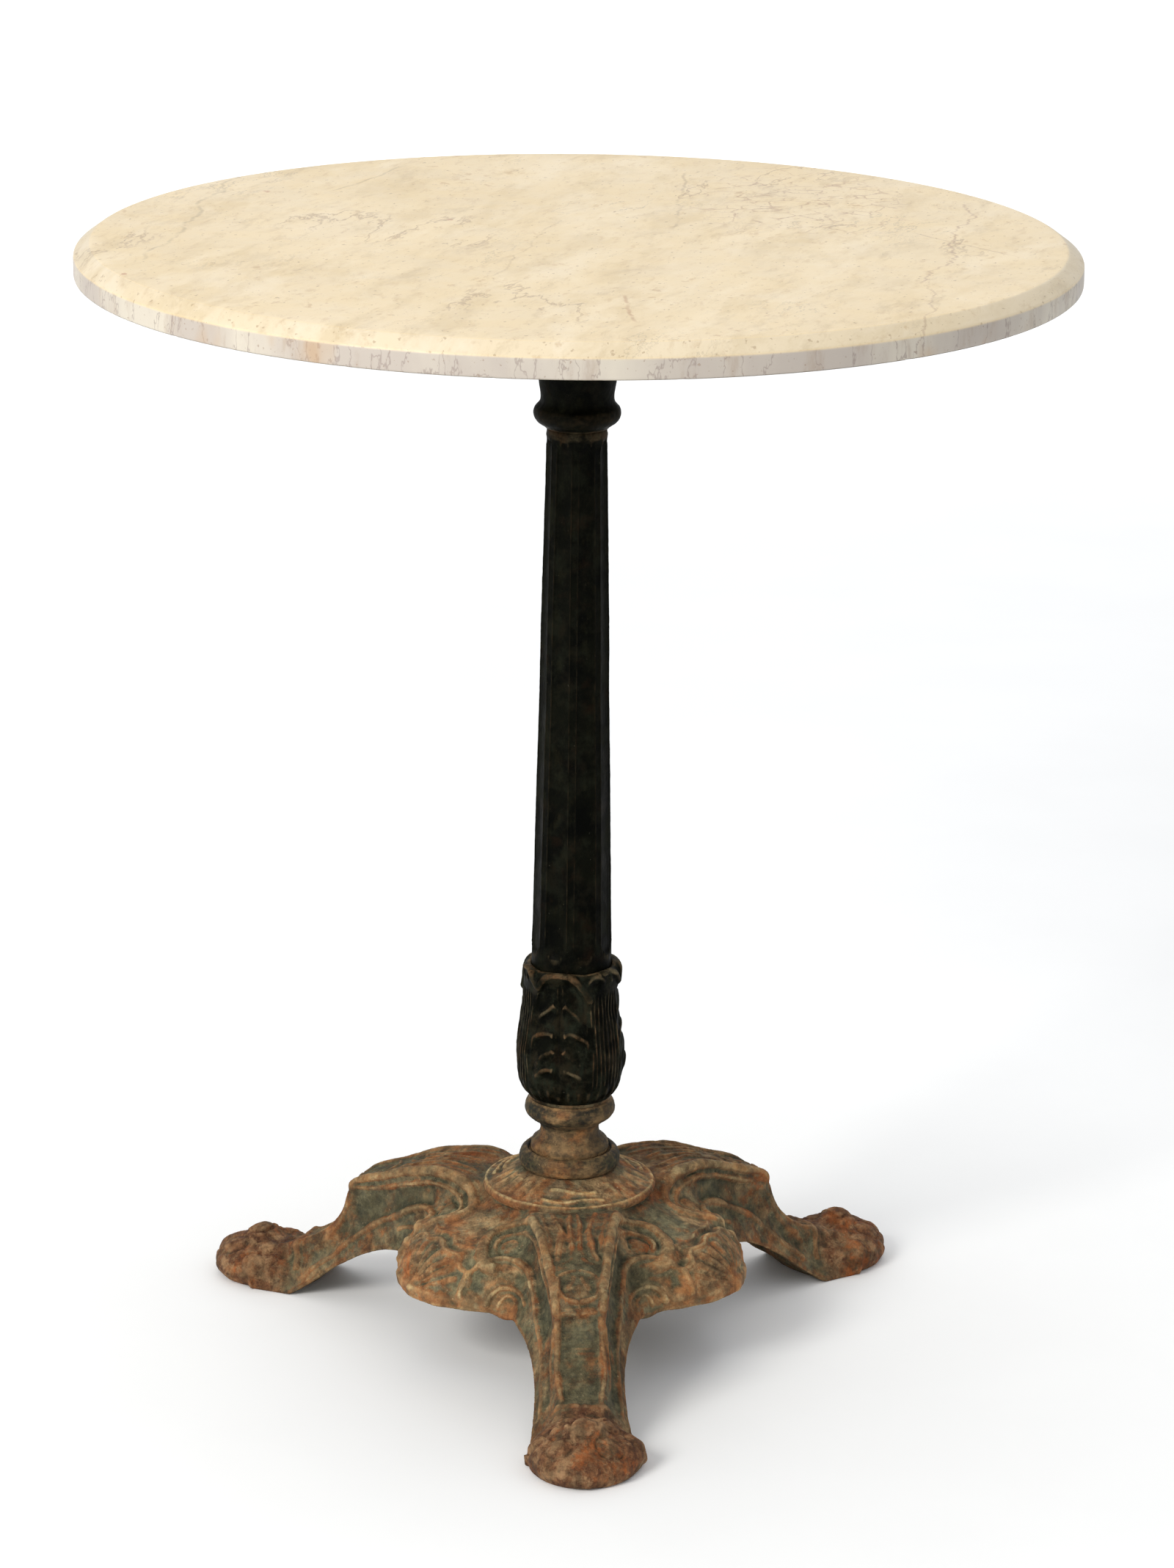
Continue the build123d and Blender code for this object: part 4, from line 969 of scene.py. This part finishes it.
def mesh_field(lo, hi, h):
    """Naive surface nets over blocks near the surface. Returns vertices and outward quads."""
    B = 8
    n = [int(math.ceil((hi[k] - lo[k]) / h / B)) * B + 1 for k in range(3)]
    vol = np.full(n, 9.0, np.float32)
    nb = [(k - 1) // B for k in n]
    bi = np.stack(np.meshgrid(*[np.arange(k) for k in nb], indexing="ij"), -1).reshape(-1, 3)
    centre = np.array(lo) + (bi + 0.5) * B * h
    dc = np.empty(len(centre))
    for a in range(0, len(centre), 200000):
        dc[a:a + 200000] = field(centre[a:a + 200000])
    reach = B * h * 0.87 * 1.35 + 1.5
    near = np.abs(dc) < reach
    for b in bi[(~near) & (dc < 0)]:
        i, j, k = b * B
        vol[i:i + B + 1, j:j + B + 1, k:k + B + 1] = -9.0
    cell = np.stack(np.meshgrid(*[np.arange(B + 1)] * 3, indexing="ij"), -1).reshape(-1, 3)
    todo = bi[near] * B
    for a in range(0, len(todo), 400):
        idx = (todo[a:a + 400, None, :] + cell[None]).reshape(-1, 3)
        vol[idx[:, 0], idx[:, 1], idx[:, 2]] = field(np.array(lo) + idx * h)
    s = vol < 0
    cnt = np.zeros([k - 1 for k in n], np.uint8)
    corners = [(a, b, c) for a in (0, 1) for b in (0, 1) for c in (0, 1)]
    for a, b, c in corners:
        cnt += s[a:n[0] - 1 + a, b:n[1] - 1 + b, c:n[2] - 1 + c]
    active = (cnt > 0) & (cnt < 8)
    I = np.argwhere(active)
    index = np.full(active.shape, -1, np.int64)
    index[active] = np.arange(len(I))
    acc, num = np.zeros((len(I), 3)), np.zeros(len(I))
    for p in corners:
        for ax in range(3):
            if p[ax]:
                continue
            q = list(p)
            q[ax] = 1
            va = vol[I[:, 0] + p[0], I[:, 1] + p[1], I[:, 2] + p[2]]
            vb = vol[I[:, 0] + q[0], I[:, 1] + q[1], I[:, 2] + q[2]]
            m = (va < 0) != (vb < 0)
            t = va[m] / (va[m] - vb[m])
            pt = np.repeat(np.array(p, float)[None], m.sum(), 0)
            pt[:, ax] = t
            acc[m] += pt
            num[m] += 1
    V = np.array(lo) + (I + acc / num[:, None]) * h
    quads = []
    for ax in range(3):
        o1, o2 = [(1, 2), (2, 0), (0, 1)][ax]
        sl0 = [slice(None)] * 3
        sl1 = [slice(None)] * 3
        sl0[ax], sl1[ax] = slice(0, n[ax] - 1), slice(1, n[ax])
        a, b = s[tuple(sl0)], s[tuple(sl1)]
        E = np.argwhere(a != b)
        E = E[(E[:, o1] > 0) & (E[:, o2] > 0) & (E[:, o1] < n[o1] - 1) & (E[:, o2] < n[o2] - 1)]
        flip = a[E[:, 0], E[:, 1], E[:, 2]]
        d1, d2 = np.zeros(3, int), np.zeros(3, int)
        d1[o1], d2[o2] = 1, 1
        c = [index[tuple((E - d1 - d2).T)], index[tuple((E - d2).T)], index[tuple(E.T)], index[tuple((E - d1).T)]]
        q = np.stack(c, 1)
        q[~flip] = q[~flip][:, ::-1]
        quads.append(q)
    return V, np.vstack(quads)


def gradient(P, e=0.35, **kw):
    g = np.stack([field(P + np.array(d) * e, **kw) - field(P - np.array(d) * e, **kw) for d in ((1, 0, 0), (0, 1, 0), (0, 0, 1))], 1) / (2 * e)
    return g


VOX = 1.05
V, F = mesh_field((-262.0, -262.0, -3.0), (262.0, 262.0, 118.0), VOX)
for _ in range(2):
    g = gradient(V)
    n2 = np.maximum((g * g).sum(1), 0.15)
    V = V - np.clip(field(V) / n2, -0.8, 0.8)[:, None] * g
N = gradient(V)
N /= np.linalg.norm(N, axis=1, keepdims=True) + 1e-9
fx, fs, fz, leg_no = fold(V)
fa = np.abs(fs)
outer_d = casting(fx, fs, fz, want_outer=True)
skin = smooth01((outer_d + 2.6) / 2.0) * smooth01((fz - 1.0) / 3.0)      # 1 on the outside of the casting
skin = np.where(np.hypot(fx, fs) < 33.8, 0, skin)
skin *= smooth01((np.hypot(fx, fs) - 33.8) / 1.5)

# the carving wanders a little and differs from leg to leg
wander = np.stack([vnoise(V, 0.055, 341), vnoise(V, 0.055, 342), vnoise(V, 0.055, 343)], 1) * 1.1
wander += np.stack([vnoise(V, 0.16, 344), vnoise(V, 0.16, 345), vnoise(V, 0.16, 346)], 1) * 0.45
Q = np.stack([fx, fa, fz], 1) + wander * smooth01(fa / 3.0)[:, None]
relief = np.zeros(len(V))


def project_line(c):
    """Puts the points of a line on the casting's outer surface, in folded coordinates."""
    c = c.copy()
    for _ in range(4):
        f0 = casting(c[:, 0], c[:, 1], c[:, 2], want_outer=True)
        g = np.stack([
            casting(c[:, 0] + 0.5, c[:, 1], c[:, 2], want_outer=True) - casting(c[:, 0] - 0.5, c[:, 1], c[:, 2], want_outer=True),
            casting(c[:, 0], c[:, 1] + 0.5, c[:, 2], want_outer=True) - casting(c[:, 0], c[:, 1] - 0.5, c[:, 2], want_outer=True),
            casting(c[:, 0], c[:, 1], c[:, 2] + 0.5, want_outer=True) - casting(c[:, 0], c[:, 1], c[:, 2] - 0.5, want_outer=True)], 1)
        n2 = np.maximum((g * g).sum(1), 0.2)
        c -= np.clip(f0 / n2, -3, 3)[:, None] * g
    return c


def near_line(pts, reach, n=7, signed=False, mirror=True):
    """For vertices within reach of a curve: their indices, distance, and place along it (0..1)."""
    c = project_line(crom(pts, n))
    q = Q if mirror else np.stack([fx, fs, fz], 1)
    if not mirror:
        c = c * np.array([1, 1, 1])
    lo, hi = c.min(0) - reach, c.max(0) + reach
    idx = np.nonzero(((q > lo) & (q < hi)).all(1) & (skin > 0.01))[0]
    p = q[idx]
    best, along = np.full(len(idx), 1e9), np.zeros(len(idx))
    seg = np.linalg.norm(np.diff(c, axis=0), axis=1)
    cum = np.r_[0, np.cumsum(seg)]
    for k in range(len(c) - 1):
        e = c[k + 1] - c[k]
        w = p - c[k]
        t = np.clip(w @ e / (e @ e + 1e-9), 0, 1)
        d = np.linalg.norm(w - t[:, None] * e, axis=1)
        m = d < best
        best[m] = d[m]
        along[m] = (cum[k] + t[m] * seg[k]) / cum[-1]
    keep = best < reach
    return idx[keep], best[keep], along[keep], cum[-1]


def bead(pts, hw, ht, ends=4.0, power=1.0, w0=1.0, w1=1.0, flat=False):
    """Raised rounded line: half width hw, height ht, fading over ends mm. w0 and w1 scale its two ends."""
    idx, d, u, length = near_line(pts, hw * 1.35 * max(w0, w1))
    k = w0 + (w1 - w0) * u
    fade = smooth01(np.minimum(u, 1 - u) * length / max(ends, 0.1) + 0.15)
    h = ht * np.clip(1 - (d / (hw * 1.3 * k)) ** (5 if flat else 2), 0, 1) ** power * fade * k
    relief[idx] = np.maximum(relief[idx], h) + 0.25 * np.minimum(relief[idx], h) * (relief[idx] > 0)


def groove(pts, hw, dp, ends=4.0):
    idx, d, u, length = near_line(pts, hw * 1.6)
    fade = smooth01(np.minimum(u, 1 - u) * length / max(ends, 0.1) + 0.1)
    relief[idx] -= dp * np.clip(1 - (d / (hw * 1.5)) ** 2, 0, 1) ** 1.3 * fade


def button(x, s, z, r, ht):
    c = project_line(np.array([[x, s, z]], float))[0]
    d = np.linalg.norm(Q - c, axis=1)
    h = ht * np.sqrt(np.clip(1 - (d / r) ** 2, 0, 1)) * (skin > 0.01)
    relief[:] = np.where(h > 0, np.maximum(relief, h), relief)
    rim = 0.5 * ht * np.exp(-((d - r - 0.8) / 0.7) ** 2)
    relief[:] -= rim * (skin > 0.01)


# ---- hollow panel along the side of each leg, between its two ridges -----------
groove([(149, 21, 55), (138, 22, 64), (124, 24, 72), (108, 26, 80), (92, 29, 86), (80, 31, 89)], 8.5, 2.0, 10)
groove([(146, 17, 80), (133, 19, 84.5), (118, 20.5, 89), (102, 22.5, 94), (86, 25, 98), (70, 28.5, 99)], 1.6, 1.0, 8)
# outer scroll band, its volute and the inner line
bead([(152, 14, 73), (149, 15, 80), (141, 16, 84.5), (127, 17, 89), (113, 18.5, 95), (96, 21, 100.5), (80, 24, 103.4), (66, 28, 103), (56, 33, 99), (49, 40, 92.5), (48, 48, 84.5), (54, 54, 77), (64, 56, 72), (74, 53, 72), (82, 47, 75)], 3.0, 2.3, 6, 0.8, 0.75, 1.3)
bead([(150, 17, 72), (147, 17.5, 77), (135, 19.5, 80), (120, 21.5, 85), (104, 24, 91), (88, 26.5, 95.5), (74, 29.5, 96), (64, 33, 94), (57.5, 38.5, 90), (56.5, 44.5, 84.5), (62, 48.5, 80), (69, 47.5, 79)], 1.8, 1.5, 6, 0.9, 0.8, 1.0)
button(67.5, 40.5, 86.5, 6.6, 1.1)
groove([(62, 31.5, 98), (53.5, 37, 94), (50.5, 44, 87), (55, 50, 80), (65, 52, 76)], 1.3, 1.0, 5)
for k, (p, q) in enumerate((((70, 33, 92), (62, 37.5, 89)), ((77, 35, 88.5), (70, 37, 88)), ((79, 41, 82.5), (72, 41, 85)), ((72, 47, 79.5), (69, 43, 84)))):
    groove([p, ((p[0] + q[0]) / 2, (p[1] + q[1]) / 2, (p[2] + q[2]) / 2), q], 1.0, 0.6, 2)
# lower ridge of the leg's side
bead([(178, 24, 14), (166, 23.5, 25), (157, 23, 32), (146, 23.5, 44), (134, 24.5, 54), (120, 26.5, 64), (104, 29, 73), (90, 32, 79), (78, 36, 82.5)], 2.2, 1.5, 8, 0.9)
bead([(176, 17.5, 33), (166, 17.6, 40), (158, 17.5, 50), (154.5, 17, 60), (152.5, 16.6, 68)], 1.8, 1.2, 5)
groove([(178, 20.5, 24), (166, 20.5, 33), (156, 20.5, 44), (151, 20.5, 56)], 2.6, 1.1, 7)
# shell on each lobe: arched lips, then a fan of rays
bead([(82, 72, 56), (80, 70, 67), (77, 64, 73), (75, 54, 78), (76, 43, 80.5), (82, 35, 80.5), (91, 30.5, 79), (101, 28.5, 75), (108, 28, 71)], 2.0, 2.1, 5, 0.8)
bead([(88, 56, 53), (87, 53, 60), (87.5, 47, 65), (92, 40, 66.5), (100, 34.5, 65), (108, 31.5, 61)], 1.6, 1.5, 4, 0.9)
bead([(92, 49, 53), (91, 44, 60), (93, 40, 62), (98, 36, 60)], 1.4, 1.2, 4)
groove([(84, 62, 58), (82, 58, 70), (83, 48, 74), (88, 40, 74), (96, 34, 72)], 3.4, 1.4, 6)
# scallop shell in the middle of each lobe, opening upwards
r_all = np.hypot(fx, fa)
lobe_t = np.radians(60.0) - np.arctan2(fa, np.maximum(fx, 1e-6))
across = r_all * np.sin(lobe_t)                      # from the lobe's middle line, never negative
rise = np.interp(fz + wander[:, 2] * 0.5, [50, 61, 70.5, 78, 82.5, 85.8, 89], [0, 11.4, 22, 33, 44, 56.4, 69])
side = across + wander[:, 0] * 0.8
shell_a = np.degrees(np.arctan2(side, np.maximum(rise - 5.0, 1e-3)))
shell_r = np.hypot(side, rise - 5.0)
lobe_on = skin * smooth01((r_all - 60) / 8) * smooth01((np.degrees(np.pi / 3 - lobe_t) - 20) / 6) * (fz > 49)
rays = np.abs(np.cos(np.radians(shell_a) * 11.0)) ** 0.7
in_fan = lobe_on * smooth01((shell_r - 7) / 4) * smooth01((34 - shell_r) / 3) * smooth01((72 - shell_a) / 6) * smooth01((rise - 4) / 3)
relief = np.where(in_fan > 0.5, relief * 0.2, relief)
relief += in_fan * (1.9 * rays * (0.5 + shell_r / 60) - 0.9)
rim_r = shell_r - (36.5 + 1.3 * np.cos(np.radians(shell_a) * 11.0))
relief += 1.9 * np.exp(-(rim_r / 1.9) ** 2) * lobe_on * smooth01((80 - shell_a) / 6) * smooth01((rise - 2) / 3)
relief -= 0.9 * np.exp(-((rim_r - 4.2) / 1.8) ** 2) * lobe_on * smooth01((80 - shell_a) / 6)
relief += 1.1 * np.exp(-((rim_r - 8.0) / 1.5) ** 2) * lobe_on * smooth01((66 - shell_a) / 8)
relief += 1.7 * np.exp(-(shell_r / 5.0) ** 2) * lobe_on
edge_bulge = np.exp(-((fz - 56.5) / 3.0) ** 2) * smooth01((r_all - 92) / 8) * skin * smooth01((lobe_t < np.radians(40)) * 1.0)
relief += 0.9 * edge_bulge
for a0, z0, ra, rz, ht in ((24, 55, 8, 6, 1.5), (40, 58, 9, 8, 2.2), (46, 72, 8, 7, 1.5), (54, 60, 8, 8, 1.6)):
    lump = np.exp(-(((across - a0) / ra) ** 2 + ((fz - z0) / rz) ** 2)) * smooth01((r_all - 80) / 8) * skin * (fz > 48)
    relief += ht * lump * smooth01((np.degrees(np.pi / 3 - lobe_t) - 18) / 8)
groove([(62, 106, 62), (70, 98, 62), (80, 88, 61), (86, 76, 58)], 1.8, 0.9, 5)
# ---- top of each leg -------------------------------------------------------------
bead([(62, 2.6, 105), (80, 2.6, 104.6), (96, 2.4, 101), (106, 2.2, 98)], 1.25, 1.3, 4)
bead([(58, 15, 104), (68, 13, 104.9), (80, 9.6, 104.6), (90, 7, 102.6)], 1.5, 1.2, 4)
bead([(86, 7.4, 103.3), (95, 8.6, 101), (104, 10.4, 98.5), (116, 12.6, 94)], 1.9, 1.3, 4)
bead([(60, 21, 104), (70, 20, 104.7), (84, 17.6, 103.8), (97, 15.6, 100.8), (110, 14.6, 96.4)], 1.5, 1.1, 5)
bead([(112, 2.4, 95.6), (116, 6.5, 94), (117.5, 11, 93.4)], 1.2, 0.9, 3)
groove([(66, 6.5, 105), (78, 6.2, 104.7), (90, 3.8, 102.4)], 1.5, 0.8, 4)
groove([(92, 12.2, 102), (104, 13.8, 98.6), (114, 15, 94.6)], 1.2, 0.7, 4)
groove([(96, 5.0, 100.9), (106, 5.8, 97.8), (112, 7.6, 95.6)], 1.3, 0.7, 3)
# shield near the knee
bead([(123, 0, 91.6), (124.5, 6, 91), (128, 12.2, 89.6)], 1.4, 1.2, 2)
bead([(128, 12.6, 89.6), (135, 13, 87), (142, 12.6, 84.4), (146.5, 10, 82.3), (148.2, 5, 81), (148.6, 0, 80.8)], 1.5, 1.4, 2)
bead([(127, 2.2, 90), (133, 3.0, 87.8), (138, 6.6, 86)], 1.1, 0.8, 3)
bead([(135, 0, 87.2), (144, 0, 83.4)], 1.1, 0.8, 3)
groove([(130, 7.5, 89), (138, 9.6, 86), (143, 7.0, 84)], 1.8, 0.7, 3)
groove([(150.5, 0, 79), (150.5, 12, 79)], 1.3, 0.9, 2)
bead([(152.3, 0, 75.2), (152.3, 12.5, 75.2)], 1.2, 0.8, 2)
# sunk strip down the shin, with raised borders and cross scratches
strip = smooth01((12.2 - fa) / 1.6) * smooth01((74 - fz) / 3) * smooth01((fz - 30.5) / 4) * smooth01((fx - 148) / 3) * smooth01((200 - fx) / 8) * skin
relief -= 1.05 * strip
relief += strip * 0.30 * np.sin(fz * 2.9 + 1.3 * np.sin(fx * 0.7)) * smooth01((70 - fz) / 5) * smooth01((fz - 46) / 8)
bead([(153, 13.6, 73), (155, 13.8, 64), (159, 14, 55.5), (166, 14, 47), (174, 13.4, 40), (184, 12.6, 34), (193, 12, 30.5)], 1.6, 0.95, 4)
# ---- foot: collar, knob, toes ------------------------------------------------------
bead([(187, 25, 14), (189.5, 19, 23), (193.5, 10, 30), (195, 0, 31.5)], 2.4, 1.5, 3)
groove([(197, 22, 20), (201, 12, 28), (202, 0, 29.4)], 2.2, 1.1, 3)
bead([(205, 17, 24), (213, 13, 28), (222, 11, 30), (231, 7, 28.6), (234, 0, 28)], 1.9, 1.1, 3)
button(226, 0, 29, 8.5, 1.9)
button(214, 15, 26, 7.0, 1.3)
button(236, 15, 18, 8.5, 1.5)
button(216, 28, 13, 8.0, 1.3)
for s0 in (9.5, 23.0):
    groove([(226, s0 * 0.85, 26), (240, s0, 18), (250, s0 * 0.85, 8), (254, s0 * 0.75, 3)], 2.4, 0.75, 6)
groove([(214, 27, 17), (208, 32, 10), (205, 34, 4)], 2.4, 0.8, 4)

# ---- medallion: three shell fans, three scroll bars, worn rim ---------------------
rad = np.hypot(V[:, 0], V[:, 1])
on_med = smooth01((rad - 34.5) / 2) * smooth01((51.8 - rad) / 2) * smooth01((V[:, 2] - 104) / 2)
lobe_deg = np.degrees(np.abs(lobe_t))
fan = on_med * smooth01((31 - lobe_deg) / 5)
relief += fan * (1.0 * np.abs(np.cos(np.radians(lobe_deg) * 15.0 + 0.9 * fbm(V, 0.05, 302, 2))) ** 0.9 - 0.5) * np.clip(0.75 + 0.7 * fbm(V, 0.06, 303, 2), 0.25, 1.2)
legside = on_med * smooth01((lobe_deg - 33) / 4)
sc = np.where(legside > 0, 1.0, 0.0)
relief += legside * 1.6 * np.exp(-((rad - 40.2 - 1.6 * np.sin(np.arctan2(fs, fx) * 6.5)) / 1.7) ** 2) * smooth01((24 - np.abs(np.degrees(np.arctan2(fs, np.maximum(fx, 1e-6))))) / 6)
relief += legside * 1.3 * np.exp(-((rad - 47.3 + 1.2 * np.sin(np.arctan2(fs, fx) * 9.0)) / 1.5) ** 2)
relief -= legside * 0.7 * np.exp(-((rad - 44.2) / 1.5) ** 2)
relief += 0.4 * np.exp(-((rad - 52.8) / 1.2) ** 2) * (V[:, 2] > 101)
on_disc = smooth01((54.5 - rad) / 1.5) * (skin > 0.3) * (fz > 100)
# worn, uneven edges
relief *= 1.10 + 0.50 * fbm(V, 0.055, 301, 2)

# ---- casting texture ----------------------------------------------------------------
foot_k = smooth01((fx - 176) / 26) * (fz < 60)
rough1 = fbm(V, 0.075, 311, 3)
rough2 = fbm(V, 0.24, 321, 3)
pits = np.clip(vnoise(V, 0.33, 331) - 0.35, 0, 1)
free = np.clip((V[:, 2] - 0.4) / 2.5, 0, 1) * smooth01((np.abs(V[:, 2] - 115.0)) / 1.5) * smooth01((rad - 9.0) / 3)
tex = fbm(V, 0.048, 351, 2) * 2.4 * foot_k + rough1 * (0.38 + 0.80 * foot_k) + rough2 * (0.24 + 0.26 * foot_k) - pits * (0.35 + 0.7 * foot_k)
V = V + N * ((relief * skin) + tex * free)[:, None]
V[:, 2] = np.maximum(V[:, 2], 0.0)
rad2 = np.hypot(V[:, 0], V[:, 1])
# keep the face under the ring flat
flatz = (rad < 33.9) & (fz > 112)
V[flatz, 2] = np.minimum(V[flatz, 2], 115.0)

# ridge: crests and hollows of the relief; the rust paints them with wear and patina, and also with painted highlight on
# the crests and painted shade in the hollows
ridge = bulge(V, F, 5) * 1.05
ridge = smooth_attr(F, len(V), ridge, 1)
ridge = ridge + 0.10 * relief * skin
# painted shade: the inside of the shell is pushed towards the dark of the hollows
ridge = np.where(skin > 0.3, ridge, ridge - 0.25)
ridge = np.clip(ridge, -1, 1)
# broad hollows: how far the surface lies below the same casting without its relief, smoothed; it drives the painted
# shade in broad hollows and the painted highlight on broad bulges
painted_shade_depth = smooth_attr(F, len(V), relief * skin, 6) / 1.8
painted_shade_depth = np.clip(painted_shade_depth + 0.30 * bulge(V, F, 16) * (skin > 0.3), -1, 1)
piece("tripod_casting", V, F, RUST, ("tripod_base",), {"ridge": ridge, "foot": foot_k, "painted_shade_depth": painted_shade_depth, "med": on_disc, "pale": np.clip(on_disc * 0.9 + lobe_on * smooth01((fz - 46) / 4), 0, 1)})

# =====================================================================
#  Floor, light
# =====================================================================
def flat_material(name, color, scale, amount):
    t = Tree(name)
    n = t.noise(scale, 3, 0.5)
    c = t.mix(t.ramp(n, 0.3, 0.7), color, tuple(v * (1 - amount) for v in color))
    return t.done(c, 0.9, t.bump(n, 0.05, 0.001), spec=0.1)


floor_mesh = bpy.data.meshes.new("floor")
S, G = 16.0, 8
pts = [(-S + 2 * S * a / G, -S + 2 * S * b / G, 0.0) for a in range(G + 1) for b in range(G + 1)]
quads = [(a * (G + 1) + b, (a + 1) * (G + 1) + b, (a + 1) * (G + 1) + b + 1, a * (G + 1) + b + 1) for a in range(G) for b in range(G)]
floor_mesh.from_pydata(pts, [], quads)
floor_mesh.materials.append(flat_material("floor_pale", (0.94, 0.94, 0.935), 6.0, 0.015))
floor = bpy.data.objects.new("floor", floor_mesh)
bpy.context.scene.collection.objects.link(floor)

bpy.context.scene.view_settings.view_transform = "Standard"
bpy.context.scene.view_settings.look = "None"

world = bpy.data.worlds.new("world")
bpy.context.scene.world = world
world.use_nodes = True
bg = world.node_tree.nodes["Background"]
bg.inputs[0].default_value = (0.95, 0.97, 1.0, 1)
bg.inputs[1].default_value = 0.70


def area(name, at, look, size, power, color=(1, 1, 1)):
    d = bpy.data.lights.new(name, "AREA")
    d.shape = "RECTANGLE"
    d.size, d.size_y = size
    d.energy = power
    d.color = color
    ob = bpy.data.objects.new(name, d)
    ob.location = at
    ob.rotation_euler = (Vector(look) - Vector(at)).to_track_quat("-Z", "Y").to_euler()
    bpy.context.scene.collection.objects.link(ob)


area("key", (-2.2, -2.2, 2.0), (0, 0, 0.3), (1.3, 1.3), 84, (1.0, 0.985, 0.95))
area("fill", (2.3, -2.0, 1.2), (0, 0, 0.3), (1.8, 1.8), 2.5, (0.96, 0.98, 1.0))
area("back", (0.0, 5.2, 2.8), (0, 6.0, 0), (6.0, 3.0), 130)
area("top", (0.2, 0.5, 2.8), (0, 0, 0.6), (2.2, 2.2), 16)
